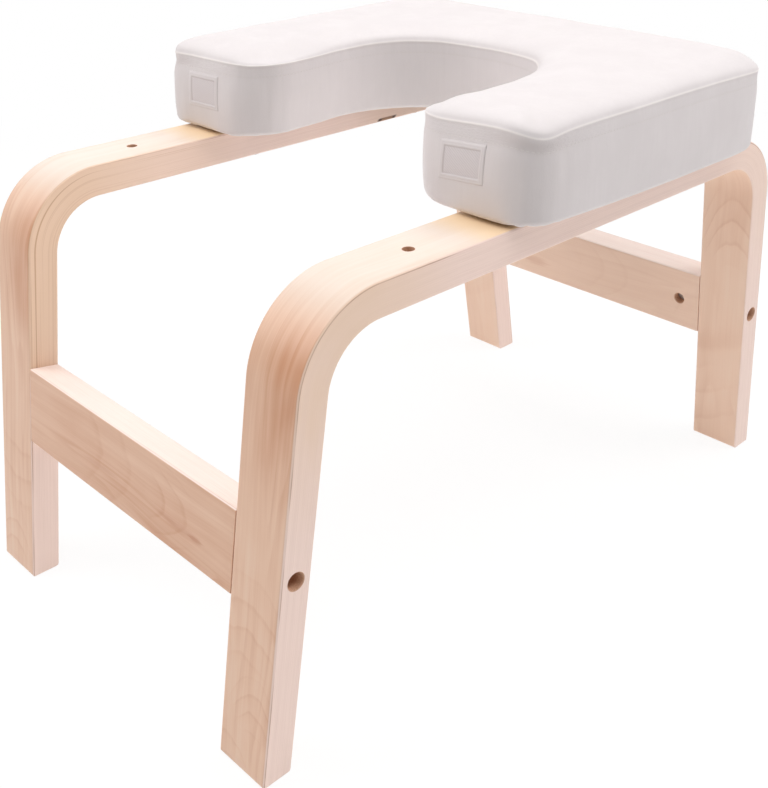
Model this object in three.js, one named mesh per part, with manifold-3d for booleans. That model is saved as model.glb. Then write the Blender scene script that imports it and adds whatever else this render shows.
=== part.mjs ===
// A headstand stool: a horseshoe cushion on two bent plywood side frames, joined by two cross rails.
// Millimetres. +X is to the right, +Y to the back and +Z up. The arms of the cushion open to the front,
// and the origin is on the floor under the middle of the frame.

import * as THREE from 'three';
import { mergeVertices } from 'three/addons/utils/BufferGeometryUtils.js';
import Module from 'manifold-3d';

const wasm = await Module();
wasm.setup();

// Side frames, one laminated strip each
const FRAME_LENGTH = 650; // foot to foot on the floor
const FRAME_WIDTH = 375; // over both side frames
const FRAME_HEIGHT = 345; // floor to the top of the strips
const STRIP_WIDTH = 50;
const STRIP_THICKNESS = 25;
const LEG_LEAN = THREE.MathUtils.degToRad(10);
const BEND_RADIUS = 70; // outer face of the bends
const EDGE_ROUND = 1.5;
const FOOT_ROUND = 4;

// Cross rails, as thick as the legs and flush with both of their faces
const RAIL_HEIGHT = 65;
const BOLT_HEIGHT = 161; // floor to the bolts, at the middle of the rails

// Bolts with barrel nuts, and dowels, between rails and legs
const FRAME_BOLT = 6;
const FRAME_BOLT_HEAD = 10;
const FRAME_BOLT_HEAD_HEIGHT = 6;
const FRAME_BOLT_KEY = 5;
const FRAME_BOLT_PAST_NUT = 2;
const COUNTERBORE = 13;
const COUNTERBORE_DEPTH = 24;
const BARREL_NUT = 10;
const BARREL_NUT_LENGTH = 12;
const BARREL_NUT_FROM_END = 22;
const DOWEL = 8;
const DOWEL_LENGTH = 30;
const DOWEL_SPACING = 40;
const DOWEL_END_PLAY = 1;

// Bolts that hold the cushion from below
const SEAT_BOLT = 8;
const SEAT_BOLT_HEAD = 14;
const SEAT_BOLT_HEAD_HEIGHT = 4.5;
const SEAT_BOLT_KEY = 5;
const SEAT_BOLT_PITCH = 205; // front bolt to rear bolt, centred under the cushion
const SPARE_HOLE_FROM_BEND = 48; // front bend to the spare hole
const WASHER = 20;
const WASHER_THICKNESS = 1.6;
const TEE_NUT_FLANGE = 20;
const TEE_NUT_FLANGE_THICKNESS = 1.5;
const TEE_NUT_WALL = 1;
const TEE_NUT_LENGTH = 9.5;

// Cushion, measured at the ridge round its top
const CUSHION_OVERHANG = 14.5; // past each side frame
const CUSHION_LENGTH = 305;
const CUSHION_PAST_BEND = 14; // past the start of the rear bend
const RIDGE_HEIGHT = 61; // underside to the ridge
const CROWN_RISE = 12;
const CROWN_REACH_SHARE = 0.42; // of the narrowest band of the horseshoe
const NECK_RADIUS = 93.5;
const NECK_DEPTH = 105; // front of the arms to the middle of the neck circle
const MOUTH_LEAN = THREE.MathUtils.degToRad(9.4);
const FRONT_CORNER = 24;
const MOUTH_CORNER = 36;
const REAR_CORNER = 32;
const LEAST_CORNER = 3;
const SIDE_FLARE = 5; // how far the outer sides stand out at the bottom
const SIDE_BELLY = 3;
const NECK_FLARE = 3; // how far the cut-out widens at the bottom
const NECK_BELLY = 2;
const ROLL_RADIUS = 8; // round the lower edge
const COVER_THICKNESS = 1.2;
const HEM_WIDTH = 26; // of the cover, under the board
const HEM_FOLD_SHARE = 0.54; // of the hem's width, folded into the pad that the cushion stands on
const HEM_FOLD_RISE = 3; // how far the pad stands below the round edge
const BOARD_THICKNESS = 12;
const UNDER_CLOTH_THICKNESS = 0.9;

// Patches sewn to the fronts of the arms
const PATCH_WIDTH = 38;
const PATCH_HEIGHT = 28;
const PATCH_THICKNESS = 1;
const PATCH_MIDDLE_HEIGHT = 35; // above the underside of the cushion
const RIGHT_PATCH_FROM_SIDE = 60.5;
const LEFT_PATCH_FROM_SIDE = 45;

// Clearances and limits
const SEAT_GAP = 0.3; // between pieces that touch
const PIN_PLAY = 0.3; // round pins and bolts, on the radius
const RAIL_HOLE_PLAY = 0.25; // round the seat bolts in the side frames, on the radius
const CUT_OVERRUN = 3;
const CHORD_SAG = 0.06; // how far a facet may leave its arc
const WELD = 0.0001;

// Counts, and the exponent of the crown: the higher, the faster it swells from the ridge
const CROWN_EXPONENT = 4;
const ROUND_FACETS = 20;
const SMALL_FACETS = 14;
const SIDE_STEPS = 4;
const CROWN_STEPS = 5;
const CORNER_STEPS = 3;
const MOUTH_STEPS = 4;
const NECK_STEPS = 8;

// Places that follow from the sizes
const lean = { sin: Math.sin(LEG_LEAN), cos: Math.cos(LEG_LEAN), tan: Math.tan(LEG_LEAN) };
const stripX = (FRAME_WIDTH - STRIP_WIDTH) / 2;
const innerX = FRAME_WIDTH / 2 - STRIP_WIDTH;
const legY = FRAME_LENGTH / 2 - BOLT_HEIGHT * lean.tan - STRIP_THICKNESS / 2 / lean.cos;
const bendZ = FRAME_HEIGHT - BEND_RADIUS;
const bendY = FRAME_LENGTH / 2 - bendZ * lean.tan - BEND_RADIUS / lean.cos;
const spareHoleY = SPARE_HOLE_FROM_BEND - bendY;
const cushionX = FRAME_WIDTH / 2 + CUSHION_OVERHANG;
const cushionRear = bendY + CUSHION_PAST_BEND;
const cushionFront = cushionRear - CUSHION_LENGTH;
const seatBoltYs = [-1, 1].map((end) => (cushionFront + cushionRear + end * SEAT_BOLT_PITCH) / 2);
const neckY = cushionFront + NECK_DEPTH;
const cushionZ = FRAME_HEIGHT + SEAT_GAP;
const soleZ = cushionZ + HEM_FOLD_RISE;
const ridgeZ = cushionZ + RIDGE_HEIGHT;
const boardZ = soleZ + COVER_THICKNESS + SEAT_GAP;
const boardTopZ = boardZ + BOARD_THICKNESS;
const narrowestBand = Math.min(cushionX - NECK_RADIUS, CUSHION_LENGTH - NECK_DEPTH - NECK_RADIUS);
const crownReach = Math.min(narrowestBand * CROWN_REACH_SHARE, narrowestBand / 2 - LEAST_CORNER);
const soleBand = narrowestBand + SIDE_FLARE - NECK_FLARE - 2 * ROLL_RADIUS;
const hemWidth = Math.min(HEM_WIDTH, soleBand / 2 - LEAST_CORNER);

const finishes = {
  wood: { color: 0xe2c3a6, roughness: 0.55, metalness: 0 },
  board: { color: 0xcbab80, roughness: 0.7, metalness: 0 },
  dowel: { color: 0xd9bd92, roughness: 0.7, metalness: 0 },
  steel: { color: 0xa9abae, roughness: 0.35, metalness: 1 },
  foam: { color: 0xeae2cc, roughness: 0.95, metalness: 0 },
  cover: { color: 0xe9e3e1, roughness: 0.5, metalness: 0 },
  patch: { color: 0xe0d8d8, roughness: 0.6, metalness: 0 },
  cloth: { color: 0x2f2f31, roughness: 0.95, metalness: 0 },
};

const stool = new THREE.Group();

function addMesh(parent, name, geometry, finish) {
  const mesh = new THREE.Mesh(geometry, new THREE.MeshStandardMaterial(finishes[finish]));
  mesh.name = name;
  parent.add(mesh);
  return mesh;
}

// Turns a closed geometry into a solid that can be cut
function toSolid(geometry) {
  const bare = geometry.clone();
  bare.deleteAttribute('normal');
  bare.deleteAttribute('uv');
  const welded = mergeVertices(bare, WELD);
  const corners = [];
  for (let i = 0; i < welded.index.count; i += 3) {
    const [a, b, c] = [welded.index.getX(i), welded.index.getX(i + 1), welded.index.getX(i + 2)];
    if (a !== b && b !== c && c !== a) corners.push(a, b, c);
  }
  return new wasm.Manifold(new wasm.Mesh({
    numProp: 3,
    vertProperties: Float32Array.from(welded.attributes.position.array),
    triVerts: Uint32Array.from(corners),
  }));
}

function cut(geometry, tools) {
  let solid = toSolid(geometry);
  for (const tool of tools) solid = solid.subtract(toSolid(tool));
  const mesh = solid.getMesh();
  const result = new THREE.BufferGeometry();
  result.setAttribute('position', new THREE.BufferAttribute(Float32Array.from(mesh.vertProperties), 3));
  result.setIndex(new THREE.BufferAttribute(Uint32Array.from(mesh.triVerts), 1));
  const faceted = result.toNonIndexed();
  faceted.computeVertexNormals();
  return faceted;
}

// A round rod centred on a point, along one of the axes
function rod(axis, diameter, length, centre, facets = ROUND_FACETS) {
  const geometry = new THREE.CylinderGeometry(diameter / 2, diameter / 2, length, facets);
  if (axis === 'x') geometry.rotateZ(-Math.PI / 2);
  if (axis === 'z') geometry.rotateX(Math.PI / 2);
  return geometry.translate(centre[0], centre[1], centre[2]);
}

// An outline whose corners, given as points with a radius, are rounded by arcs
function roundedOutline(corners) {
  const outline = [];
  corners.forEach(([point, radius], i) => {
    const before = corners[(i + corners.length - 1) % corners.length][0];
    const after = corners[(i + 1) % corners.length][0];
    const u = before.clone().sub(point).normalize();
    const v = after.clone().sub(point).normalize();
    const half = Math.acos(THREE.MathUtils.clamp(u.dot(v), -1, 1)) / 2;
    const centre = u.clone().add(v).normalize().multiplyScalar(radius / Math.sin(half)).add(point);
    const start = u.clone().multiplyScalar(radius / Math.tan(half)).add(point).sub(centre).angle();
    const turn = Math.PI - 2 * half;
    const sweep = u.cross(v) > 0 ? -turn : turn;
    const steps = Math.max(2, Math.ceil(turn / (2 * Math.acos(1 - CHORD_SAG / radius))));
    for (let k = 0; k <= steps; k++) {
      const angle = start + (sweep * k) / steps;
      outline.push(new THREE.Vector2(Math.cos(angle), Math.sin(angle)).multiplyScalar(radius).add(centre));
    }
  });
  return outline;
}

// A length of an outline, its end edges eased, centred on its own middle along local Z
function easedBar(outline, length) {
  const geometry = new THREE.ExtrudeGeometry(new THREE.Shape(outline), {
    depth: length - 2 * EDGE_ROUND,
    bevelThickness: EDGE_ROUND,
    bevelSize: EDGE_ROUND,
    bevelOffset: -EDGE_ROUND,
    bevelSegments: 2,
  });
  return geometry.translate(0, 0, EDGE_ROUND - length / 2);
}

// Turns local X, Y, Z into world Y, Z, X, so that a side view is drawn as it is seen
const sideView = new THREE.Matrix4().makeBasis(
  new THREE.Vector3(0, 1, 0), new THREE.Vector3(0, 0, 1), new THREE.Vector3(1, 0, 0));

// A screw along local Y: its shank starts at the origin, and the head has a hexagon socket
function screw(shank, length, head, headHeight, key) {
  const profile = [[0, 0], [shank / 2, 0], [shank / 2, length], [head / 2, length],
    [head / 2, length + headHeight], [0, length + headHeight]];
  const body = new THREE.LatheGeometry(profile.map(([r, y]) => new THREE.Vector2(r, y)), SMALL_FACETS);
  const socket = new THREE.CylinderGeometry(key / Math.sqrt(3), key / Math.sqrt(3), headHeight, 6);
  socket.translate(0, length + headHeight, 0);
  return cut(body, [socket]);
}

// Side frames. Seen from the side, the strip is an arch whose bends share their centres inside and out.
function sideFrame(side) {
  const soleY = FRAME_LENGTH / 2;
  const topY = soleY - FRAME_HEIGHT * lean.tan;
  const innerSoleY = soleY - STRIP_THICKNESS / lean.cos;
  const innerTopZ = FRAME_HEIGHT - STRIP_THICKNESS;
  const innerTopY = innerSoleY - innerTopZ * lean.tan;
  const innerRadius = BEND_RADIUS - STRIP_THICKNESS;
  const outline = roundedOutline([
    [new THREE.Vector2(soleY, 0), FOOT_ROUND],
    [new THREE.Vector2(topY, FRAME_HEIGHT), BEND_RADIUS],
    [new THREE.Vector2(-topY, FRAME_HEIGHT), BEND_RADIUS],
    [new THREE.Vector2(-soleY, 0), FOOT_ROUND],
    [new THREE.Vector2(-innerSoleY, 0), FOOT_ROUND],
    [new THREE.Vector2(-innerTopY, innerTopZ), innerRadius],
    [new THREE.Vector2(innerTopY, innerTopZ), innerRadius],
    [new THREE.Vector2(innerSoleY, 0), FOOT_ROUND],
  ]);
  const strip = easedBar(outline, STRIP_WIDTH).applyMatrix4(sideView);

  const holes = [];
  const boreX = side * (STRIP_WIDTH / 2 - COUNTERBORE_DEPTH / 2 + CUT_OVERRUN / 2);
  const dowelX = -side * STRIP_WIDTH / 2;
  const dowelHole = DOWEL_LENGTH + 2 * DOWEL_END_PLAY;
  for (const end of [-1, 1]) {
    const y = end * legY;
    holes.push(rod('x', COUNTERBORE, COUNTERBORE_DEPTH + CUT_OVERRUN, [boreX, y, BOLT_HEIGHT]));
    holes.push(rod('x', FRAME_BOLT + 2 * PIN_PLAY, STRIP_WIDTH + CUT_OVERRUN, [0, y, BOLT_HEIGHT]));
    for (const along of [-DOWEL_SPACING / 2, DOWEL_SPACING / 2]) {
      const centre = [dowelX, y - end * along * lean.sin, BOLT_HEIGHT + along * lean.cos];
      holes.push(rod('x', DOWEL + 2 * PIN_PLAY, dowelHole, centre, SMALL_FACETS));
    }
  }
  const railHole = SEAT_BOLT + 2 * RAIL_HOLE_PLAY;
  const middleZ = FRAME_HEIGHT - STRIP_THICKNESS / 2;
  for (const y of [spareHoleY, ...seatBoltYs]) {
    holes.push(rod('z', railHole, STRIP_THICKNESS + CUT_OVERRUN, [0, y, middleZ]));
  }
  return cut(strip, holes);
}

for (const [name, side] of [['left', -1], ['right', 1]]) {
  addMesh(stool, `${name}_side_frame`, sideFrame(side), 'wood').position.x = side * stripX;
}

// Cross rails, each in a group on the axis of its bolts that leans with the legs
const railHalf = innerX - SEAT_GAP;
const nutX = railHalf - BARREL_NUT_FROM_END;

// inward is the side of the rail that faces the middle of the stool, where the barrel nuts go in
function crossRail(inward) {
  const [t, h] = [STRIP_THICKNESS / 2, RAIL_HEIGHT / 2];
  const outline = roundedOutline([[t, h], [-t, h], [-t, -h], [t, -h]]
    .map(([y, z]) => [new THREE.Vector2(y, z), EDGE_ROUND]));
  const along = { depth: 2 * railHalf, bevelEnabled: false };
  const bar = new THREE.ExtrudeGeometry(new THREE.Shape(outline), along);
  bar.translate(0, 0, -railHalf).applyMatrix4(sideView);

  const nutDepth = STRIP_THICKNESS / 2 + BARREL_NUT_LENGTH / 2 + SEAT_GAP;
  const nutY = inward * (STRIP_THICKNESS / 2 - nutDepth / 2 + CUT_OVERRUN / 2);
  const boltDepth = BARREL_NUT_FROM_END + BARREL_NUT / 2 + FRAME_BOLT_PAST_NUT + PIN_PLAY;
  const dowelHole = DOWEL_LENGTH + 2 * DOWEL_END_PLAY;
  const holes = [];
  for (const side of [-1, 1]) {
    const boltX = side * (railHalf - boltDepth / 2 + CUT_OVERRUN / 2);
    holes.push(rod('y', BARREL_NUT + 2 * PIN_PLAY, nutDepth + CUT_OVERRUN, [side * nutX, nutY, 0]));
    holes.push(rod('x', FRAME_BOLT + 2 * PIN_PLAY, boltDepth + CUT_OVERRUN, [boltX, 0, 0]));
    for (const z of [-DOWEL_SPACING / 2, DOWEL_SPACING / 2]) {
      holes.push(rod('x', DOWEL + 2 * PIN_PLAY, dowelHole, [side * innerX, 0, z], SMALL_FACETS));
    }
  }
  return cut(bar, holes);
}

function barrelNut() {
  const body = rod('y', BARREL_NUT, BARREL_NUT_LENGTH, [0, 0, 0]);
  const bore = rod('x', FRAME_BOLT + 2 * PIN_PLAY, BARREL_NUT + CUT_OVERRUN, [0, 0, 0], SMALL_FACETS);
  const slot = new THREE.BoxGeometry(BARREL_NUT + CUT_OVERRUN, TEE_NUT_WALL, TEE_NUT_WALL);
  return cut(body, [bore, slot.clone().translate(0, BARREL_NUT_LENGTH / 2, 0),
    slot.translate(0, -BARREL_NUT_LENGTH / 2, 0)]);
}

const headX = FRAME_WIDTH / 2 - COUNTERBORE_DEPTH + SEAT_GAP;
const shankEndX = nutX - BARREL_NUT / 2 - FRAME_BOLT_PAST_NUT;

for (const [place, end] of [['front', -1], ['rear', 1]]) {
  const joint = new THREE.Group();
  joint.position.set(0, end * legY, BOLT_HEIGHT);
  joint.rotation.x = end * LEG_LEAN;
  stool.add(joint);
  addMesh(joint, `${place}_cross_rail`, crossRail(-end), 'wood');
  for (const [name, side] of [['left', -1], ['right', 1]]) {
    const bolt = addMesh(joint, `frame_bolt_${place}_${name}`, screw(FRAME_BOLT, headX - shankEndX,
      FRAME_BOLT_HEAD, FRAME_BOLT_HEAD_HEIGHT, FRAME_BOLT_KEY), 'steel');
    bolt.position.x = side * shankEndX;
    bolt.rotation.z = -side * Math.PI / 2;
    addMesh(joint, `barrel_nut_${place}_${name}`, barrelNut(), 'steel').position.x = side * nutX;
    for (const [level, z] of [['lower', -DOWEL_SPACING / 2], ['upper', DOWEL_SPACING / 2]]) {
      const pin = rod('x', DOWEL, DOWEL_LENGTH, [0, 0, 0], SMALL_FACETS);
      addMesh(joint, `dowel_${place}_${name}_${level}`, pin, 'dowel').position.set(side * innerX, 0, z);
    }
  }
}

// Outline of the horseshoe, anticlockwise from above. out is how far its outer sides and the fronts of
// the arms lie inside the ridge, and neck how far the cut-out lies outside its own edge at the ridge.
function horseshoe(out, neck) {
  const half = [new THREE.Vector2(0, cushionRear - out)];
  const arc = (x, y, radius, from, to, steps) => {
    for (let k = 0; k <= steps; k++) {
      const angle = from + ((to - from) * k) / steps;
      half.push(new THREE.Vector2(x + radius * Math.cos(angle), y + radius * Math.sin(angle)));
    }
  };
  const rear = Math.max(REAR_CORNER - out, LEAST_CORNER);
  const front = Math.max(FRONT_CORNER - out, LEAST_CORNER);
  const mouth = Math.max(MOUTH_CORNER - (out + neck) / 2, LEAST_CORNER);
  const side = cushionX - out;
  const fore = cushionFront + out;
  const mouthY = fore + mouth;
  const reach = NECK_RADIUS + neck + mouth;
  const mouthX = (reach + (mouthY - neckY) * Math.sin(MOUTH_LEAN)) / Math.cos(MOUTH_LEAN);
  arc(side - rear, cushionRear - out - rear, rear, Math.PI / 2, 0, CORNER_STEPS);
  arc(side - front, fore + front, front, 0, -Math.PI / 2, CORNER_STEPS);
  arc(mouthX, mouthY, mouth, -Math.PI / 2, -Math.PI - MOUTH_LEAN, MOUTH_STEPS);
  arc(0, neckY, NECK_RADIUS + neck, -MOUTH_LEAN, Math.PI / 2, NECK_STEPS);
  const mirrored = half.slice(1, -1).reverse().map((p) => new THREE.Vector2(-p.x, p.y));
  return [...half, ...mirrored].reverse();
}

// Section of the cover's outer face, from its hem under the board, round the lower edge, up the side to
// the ridge and over the crown. Each row holds the two insets of the horseshoe and a height. The crown
// leaves the ridge at a crease and flattens with a power of the way that is left.
function coverSection() {
  const rows = [];
  const flare = (t) => -SIDE_FLARE * (1 - t) - 4 * SIDE_BELLY * t * (1 - t);
  const neckFlare = (t) => NECK_FLARE * (1 - t) - 4 * NECK_BELLY * t * (1 - t);
  rows.push([ROLL_RADIUS - SIDE_FLARE + hemWidth, ROLL_RADIUS + NECK_FLARE + hemWidth, soleZ]);
  for (const angle of [0, Math.PI / 5, Math.PI * 0.36]) {
    const drop = ROLL_RADIUS * (1 - Math.sin(angle));
    rows.push([drop - SIDE_FLARE, drop + NECK_FLARE, soleZ + ROLL_RADIUS * (1 - Math.cos(angle))]);
  }
  const sideZ = soleZ + ROLL_RADIUS;
  for (let k = 0; k <= SIDE_STEPS; k++) {
    const t = k / SIDE_STEPS;
    rows.push([flare(t), neckFlare(t), sideZ + (ridgeZ - sideZ) * t]);
  }
  for (let k = 1; k <= CROWN_STEPS; k++) {
    const t = (k / CROWN_STEPS) ** 1.5;
    rows.push([crownReach * t, crownReach * t, ridgeZ + CROWN_RISE * (1 - (1 - t) ** CROWN_EXPONENT)]);
  }
  return rows;
}

// The same section moved inwards, square to itself
function insetSection(rows, depth) {
  return rows.map((row, i) => {
    const before = rows[Math.max(i - 1, 0)];
    const after = rows[Math.min(i + 1, rows.length - 1)];
    const dz = after[2] - before[2];
    const along = Math.hypot(after[0] - before[0], dz);
    const alongNeck = Math.hypot(after[1] - before[1], dz);
    return [row[0] + (depth * dz) / along, row[1] + (depth * dz) / alongNeck,
      row[2] - (depth * (after[0] - before[0])) / along];
  });
}

// A closed body through rings of equally many points, capped at its first and last ring
function loft(rings) {
  const count = rings[0].outline.length;
  const position = rings.flatMap(({ outline, z }) => outline.flatMap((p) => [p.x, p.y, z]));
  const index = [];
  for (let r = 0; r < rings.length - 1; r++) {
    for (let i = 0; i < count; i++) {
      const j = (i + 1) % count;
      const [a, b, c, d] = [r * count + i, r * count + j, (r + 1) * count + j, (r + 1) * count + i];
      index.push(a, b, c, a, c, d);
    }
  }
  const last = (rings.length - 1) * count;
  for (const [a, b, c] of THREE.ShapeUtils.triangulateShape(rings[0].outline, [])) index.push(a, c, b);
  for (const [a, b, c] of THREE.ShapeUtils.triangulateShape(rings[rings.length - 1].outline, [])) {
    index.push(last + a, last + b, last + c);
  }
  const geometry = new THREE.BufferGeometry();
  geometry.setAttribute('position', new THREE.Float32BufferAttribute(position, 3));
  geometry.setIndex(index);
  geometry.computeVertexNormals();
  return geometry;
}

const ringOf = ([out, neck, z]) => ({ outline: horseshoe(out, neck), z });
const section = coverSection();

// Holes for the seat bolts through a layer of the cushion's underside
function boltHoles(thickness, middleZ) {
  return [-stripX, stripX].flatMap((x) => seatBoltYs.map((y) =>
    rod('z', SEAT_BOLT + 2 * PIN_PLAY, thickness + CUT_OVERRUN, [x, y, middleZ], SMALL_FACETS)));
}

// The cover is one skin: its inner face runs back from the crown to the hem, then its outer face returns
// round the folded pad. A bolt that comes close to the edge of the cushion goes through the hem.
const lining = insetSection(section, COVER_THICKNESS).reverse();
const hemThickness = HEM_FOLD_RISE + COVER_THICKNESS;
const padEdge = section[0].slice(0, 2).map((inset) => inset - hemWidth * HEM_FOLD_SHARE);
const pad = [[...section[0].slice(0, 2), cushionZ], [...padEdge, cushionZ], [...padEdge, soleZ]];
const skin = loft([...lining, ...pad, ...section.slice(1)].map(ringOf));
const hemHoles = boltHoles(hemThickness, cushionZ + hemThickness / 2);
addMesh(stool, 'cushion_cover', cut(skin, hemHoles), 'cover');

// Foam on the board, a seat gap inside the cover
const foamBottom = boardTopZ + SEAT_GAP;
const foamSkin = insetSection(section, COVER_THICKNESS + SEAT_GAP);
const firstAbove = foamSkin.findIndex((row, i) => i > 0 && row[2] > foamBottom + LEAST_CORNER);
const [below, above] = [foamSkin[firstAbove - 1], foamSkin[firstAbove]];
const level = (foamBottom - below[2]) / (above[2] - below[2]);
const foamSole = [0, 1].map((i) => below[i] + (above[i] - below[i]) * level);
const foamRows = [[...foamSole, foamBottom], ...foamSkin.slice(firstAbove)];
addMesh(stool, 'cushion_foam', loft(foamRows.map(ringOf)), 'foam');

// Plywood board, within the round of the cover's lower edge
const boardOut = ROLL_RADIUS - SIDE_FLARE;
const boardNeck = ROLL_RADIUS + NECK_FLARE;
const boardHoles = [];
const teeBarrel = SEAT_BOLT + 2 * PIN_PLAY + 2 * TEE_NUT_WALL;
const flangeSeat = TEE_NUT_FLANGE_THICKNESS + SEAT_GAP;
for (const x of [-stripX, stripX]) {
  for (const y of seatBoltYs) {
    boardHoles.push(rod('z', teeBarrel + 2 * PIN_PLAY, BOARD_THICKNESS + CUT_OVERRUN,
      [x, y, boardZ + BOARD_THICKNESS / 2]));
    boardHoles.push(rod('z', TEE_NUT_FLANGE + 2 * PIN_PLAY, flangeSeat + CUT_OVERRUN,
      [x, y, boardTopZ - flangeSeat / 2 + CUT_OVERRUN / 2]));
  }
}
const boardBlank = loft([[boardOut, boardNeck, boardZ], [boardOut, boardNeck, boardTopZ]].map(ringOf));
addMesh(stool, 'cushion_board', cut(boardBlank, boardHoles), 'board');

// Cloth that closes the underside inside the hem, pierced for the bolts
const clothInset = hemWidth + SEAT_GAP;
const clothRows = [cushionZ, cushionZ + UNDER_CLOTH_THICKNESS]
  .map((z) => [boardOut + clothInset, boardNeck + clothInset, z]);
const cloth = loft(clothRows.map(ringOf));
addMesh(stool, 'under_cloth', cut(cloth, boltHoles(UNDER_CLOTH_THICKNESS, cushionZ)), 'cloth');

// Seat bolts from below, with washers under the strips and tee nuts in the board
const washerZ = FRAME_HEIGHT - STRIP_THICKNESS - SEAT_GAP - WASHER_THICKNESS / 2;
const seatHeadZ = washerZ - WASHER_THICKNESS / 2 - SEAT_GAP;
const teeTopZ = boardTopZ;
const seatBoltLength = teeTopZ - TEE_NUT_FLANGE_THICKNESS - seatHeadZ;

function ringPlate(outer, inner, thickness) {
  return cut(rod('z', outer, thickness, [0, 0, 0]),
    [rod('z', inner, thickness + CUT_OVERRUN, [0, 0, 0], SMALL_FACETS)]);
}

function teeNut() {
  const bore = SEAT_BOLT / 2 + PIN_PLAY;
  const [barrel, flange] = [teeBarrel / 2, TEE_NUT_FLANGE / 2];
  const neckY = -TEE_NUT_FLANGE_THICKNESS;
  const profile = [[bore, -TEE_NUT_LENGTH], [barrel, -TEE_NUT_LENGTH], [barrel, neckY], [flange, neckY],
    [flange, 0], [bore, 0], [bore, -TEE_NUT_LENGTH]];
  const body = new THREE.LatheGeometry(profile.map(([r, y]) => new THREE.Vector2(r, y)), SMALL_FACETS);
  return body.rotateX(Math.PI / 2);
}

for (const [name, x] of [['left', -stripX], ['right', stripX]]) {
  for (const [place, y] of [['front', seatBoltYs[0]], ['rear', seatBoltYs[1]]]) {
    const bolt = addMesh(stool, `seat_bolt_${place}_${name}`, screw(SEAT_BOLT, seatBoltLength,
      SEAT_BOLT_HEAD, SEAT_BOLT_HEAD_HEIGHT, SEAT_BOLT_KEY), 'steel');
    bolt.position.set(x, y, seatHeadZ + seatBoltLength);
    bolt.rotation.x = -Math.PI / 2;
    const washer = ringPlate(WASHER, SEAT_BOLT + 2 * PIN_PLAY, WASHER_THICKNESS);
    addMesh(stool, `washer_${place}_${name}`, washer, 'steel').position.set(x, y, washerZ);
    addMesh(stool, `tee_nut_${place}_${name}`, teeNut(), 'steel').position.set(x, y, teeTopZ);
  }
}

// Patches, bent to the side section of the cover
function patch() {
  const sides = section.slice(-CROWN_STEPS - SIDE_STEPS - 1, -CROWN_STEPS);
  const outAt = (z) => {
    const i = Math.max(sides.findIndex((row) => row[2] >= z), 1);
    const t = (z - sides[i - 1][2]) / (sides[i][2] - sides[i - 1][2]);
    return sides[i - 1][0] + (sides[i][0] - sides[i - 1][0]) * t;
  };
  const middle = cushionZ + PATCH_MIDDLE_HEIGHT;
  const [low, high] = [middle - PATCH_HEIGHT / 2, middle + PATCH_HEIGHT / 2];
  const heights = [low, ...sides.map((row) => row[2]).filter((z) => z > low && z < high), high];
  const face = (gap) => heights.map((z) => new THREE.Vector2(cushionFront + outAt(z) - gap, z));
  const outline = [...face(SEAT_GAP).reverse(), ...face(SEAT_GAP + PATCH_THICKNESS)];
  const geometry = new THREE.ExtrudeGeometry(new THREE.Shape(outline),
    { depth: PATCH_WIDTH, bevelEnabled: false });
  return geometry.translate(0, 0, -PATCH_WIDTH / 2).applyMatrix4(sideView);
}

addMesh(stool, 'patch_right', patch(), 'patch').position.x = cushionX - RIGHT_PATCH_FROM_SIDE;
addMesh(stool, 'patch_left', patch(), 'patch').position.x = LEFT_PATCH_FROM_SIDE - cushionX;

export default stool;
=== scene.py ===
import math

import bmesh
import bpy
import numpy as np
from mathutils import Matrix, Vector


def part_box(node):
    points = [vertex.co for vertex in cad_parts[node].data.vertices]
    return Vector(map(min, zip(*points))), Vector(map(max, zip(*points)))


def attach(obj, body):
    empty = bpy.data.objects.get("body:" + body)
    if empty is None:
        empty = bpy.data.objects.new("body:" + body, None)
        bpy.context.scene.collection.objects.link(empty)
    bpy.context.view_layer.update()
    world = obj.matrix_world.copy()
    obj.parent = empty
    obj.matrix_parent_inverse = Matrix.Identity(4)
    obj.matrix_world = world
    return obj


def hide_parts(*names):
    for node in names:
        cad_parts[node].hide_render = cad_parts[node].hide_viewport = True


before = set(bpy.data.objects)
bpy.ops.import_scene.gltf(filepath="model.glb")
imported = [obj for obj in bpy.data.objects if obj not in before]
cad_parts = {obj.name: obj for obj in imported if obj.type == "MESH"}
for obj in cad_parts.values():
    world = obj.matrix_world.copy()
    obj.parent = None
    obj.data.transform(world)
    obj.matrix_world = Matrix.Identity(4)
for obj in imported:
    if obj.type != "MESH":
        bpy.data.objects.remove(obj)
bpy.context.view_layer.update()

bl_info = {
    "name": "Headstand Stool",
    "version": (1, 0, 0),
    "blender": (4, 5, 0),
    "location": "View3D > Sidebar > Stool",
    "description": "A horseshoe cushion on two bent plywood side frames, with its studio",
    "category": "Object",
}

MM = 0.001


def node_box(node):
    """Lowest and highest corner of a CAD node, in millimetres."""
    low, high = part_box(node)
    return np.array(low) / MM, np.array(high) / MM


def node_middle(node):
    low, high = node_box(node)
    return (low + high) / 2


STRIP_LOW, STRIP_HIGH = node_box("right_side_frame")
COVER_LOW, COVER_HIGH = node_box("cushion_cover")


# Sizes and colours that a user would change

def length(name, description, default):
    return bpy.props.FloatProperty(name=name, description=description, default=default,
                                   min=0.0, unit="LENGTH", precision=4)


def power(name, description, default):
    return bpy.props.FloatProperty(name=name, description=description, default=default, subtype="POWER")


def colour(name, description, default):
    return bpy.props.FloatVectorProperty(name=name, description=description, default=default,
                                         size=3, min=0.0, max=1.0, subtype="COLOR")


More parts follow.
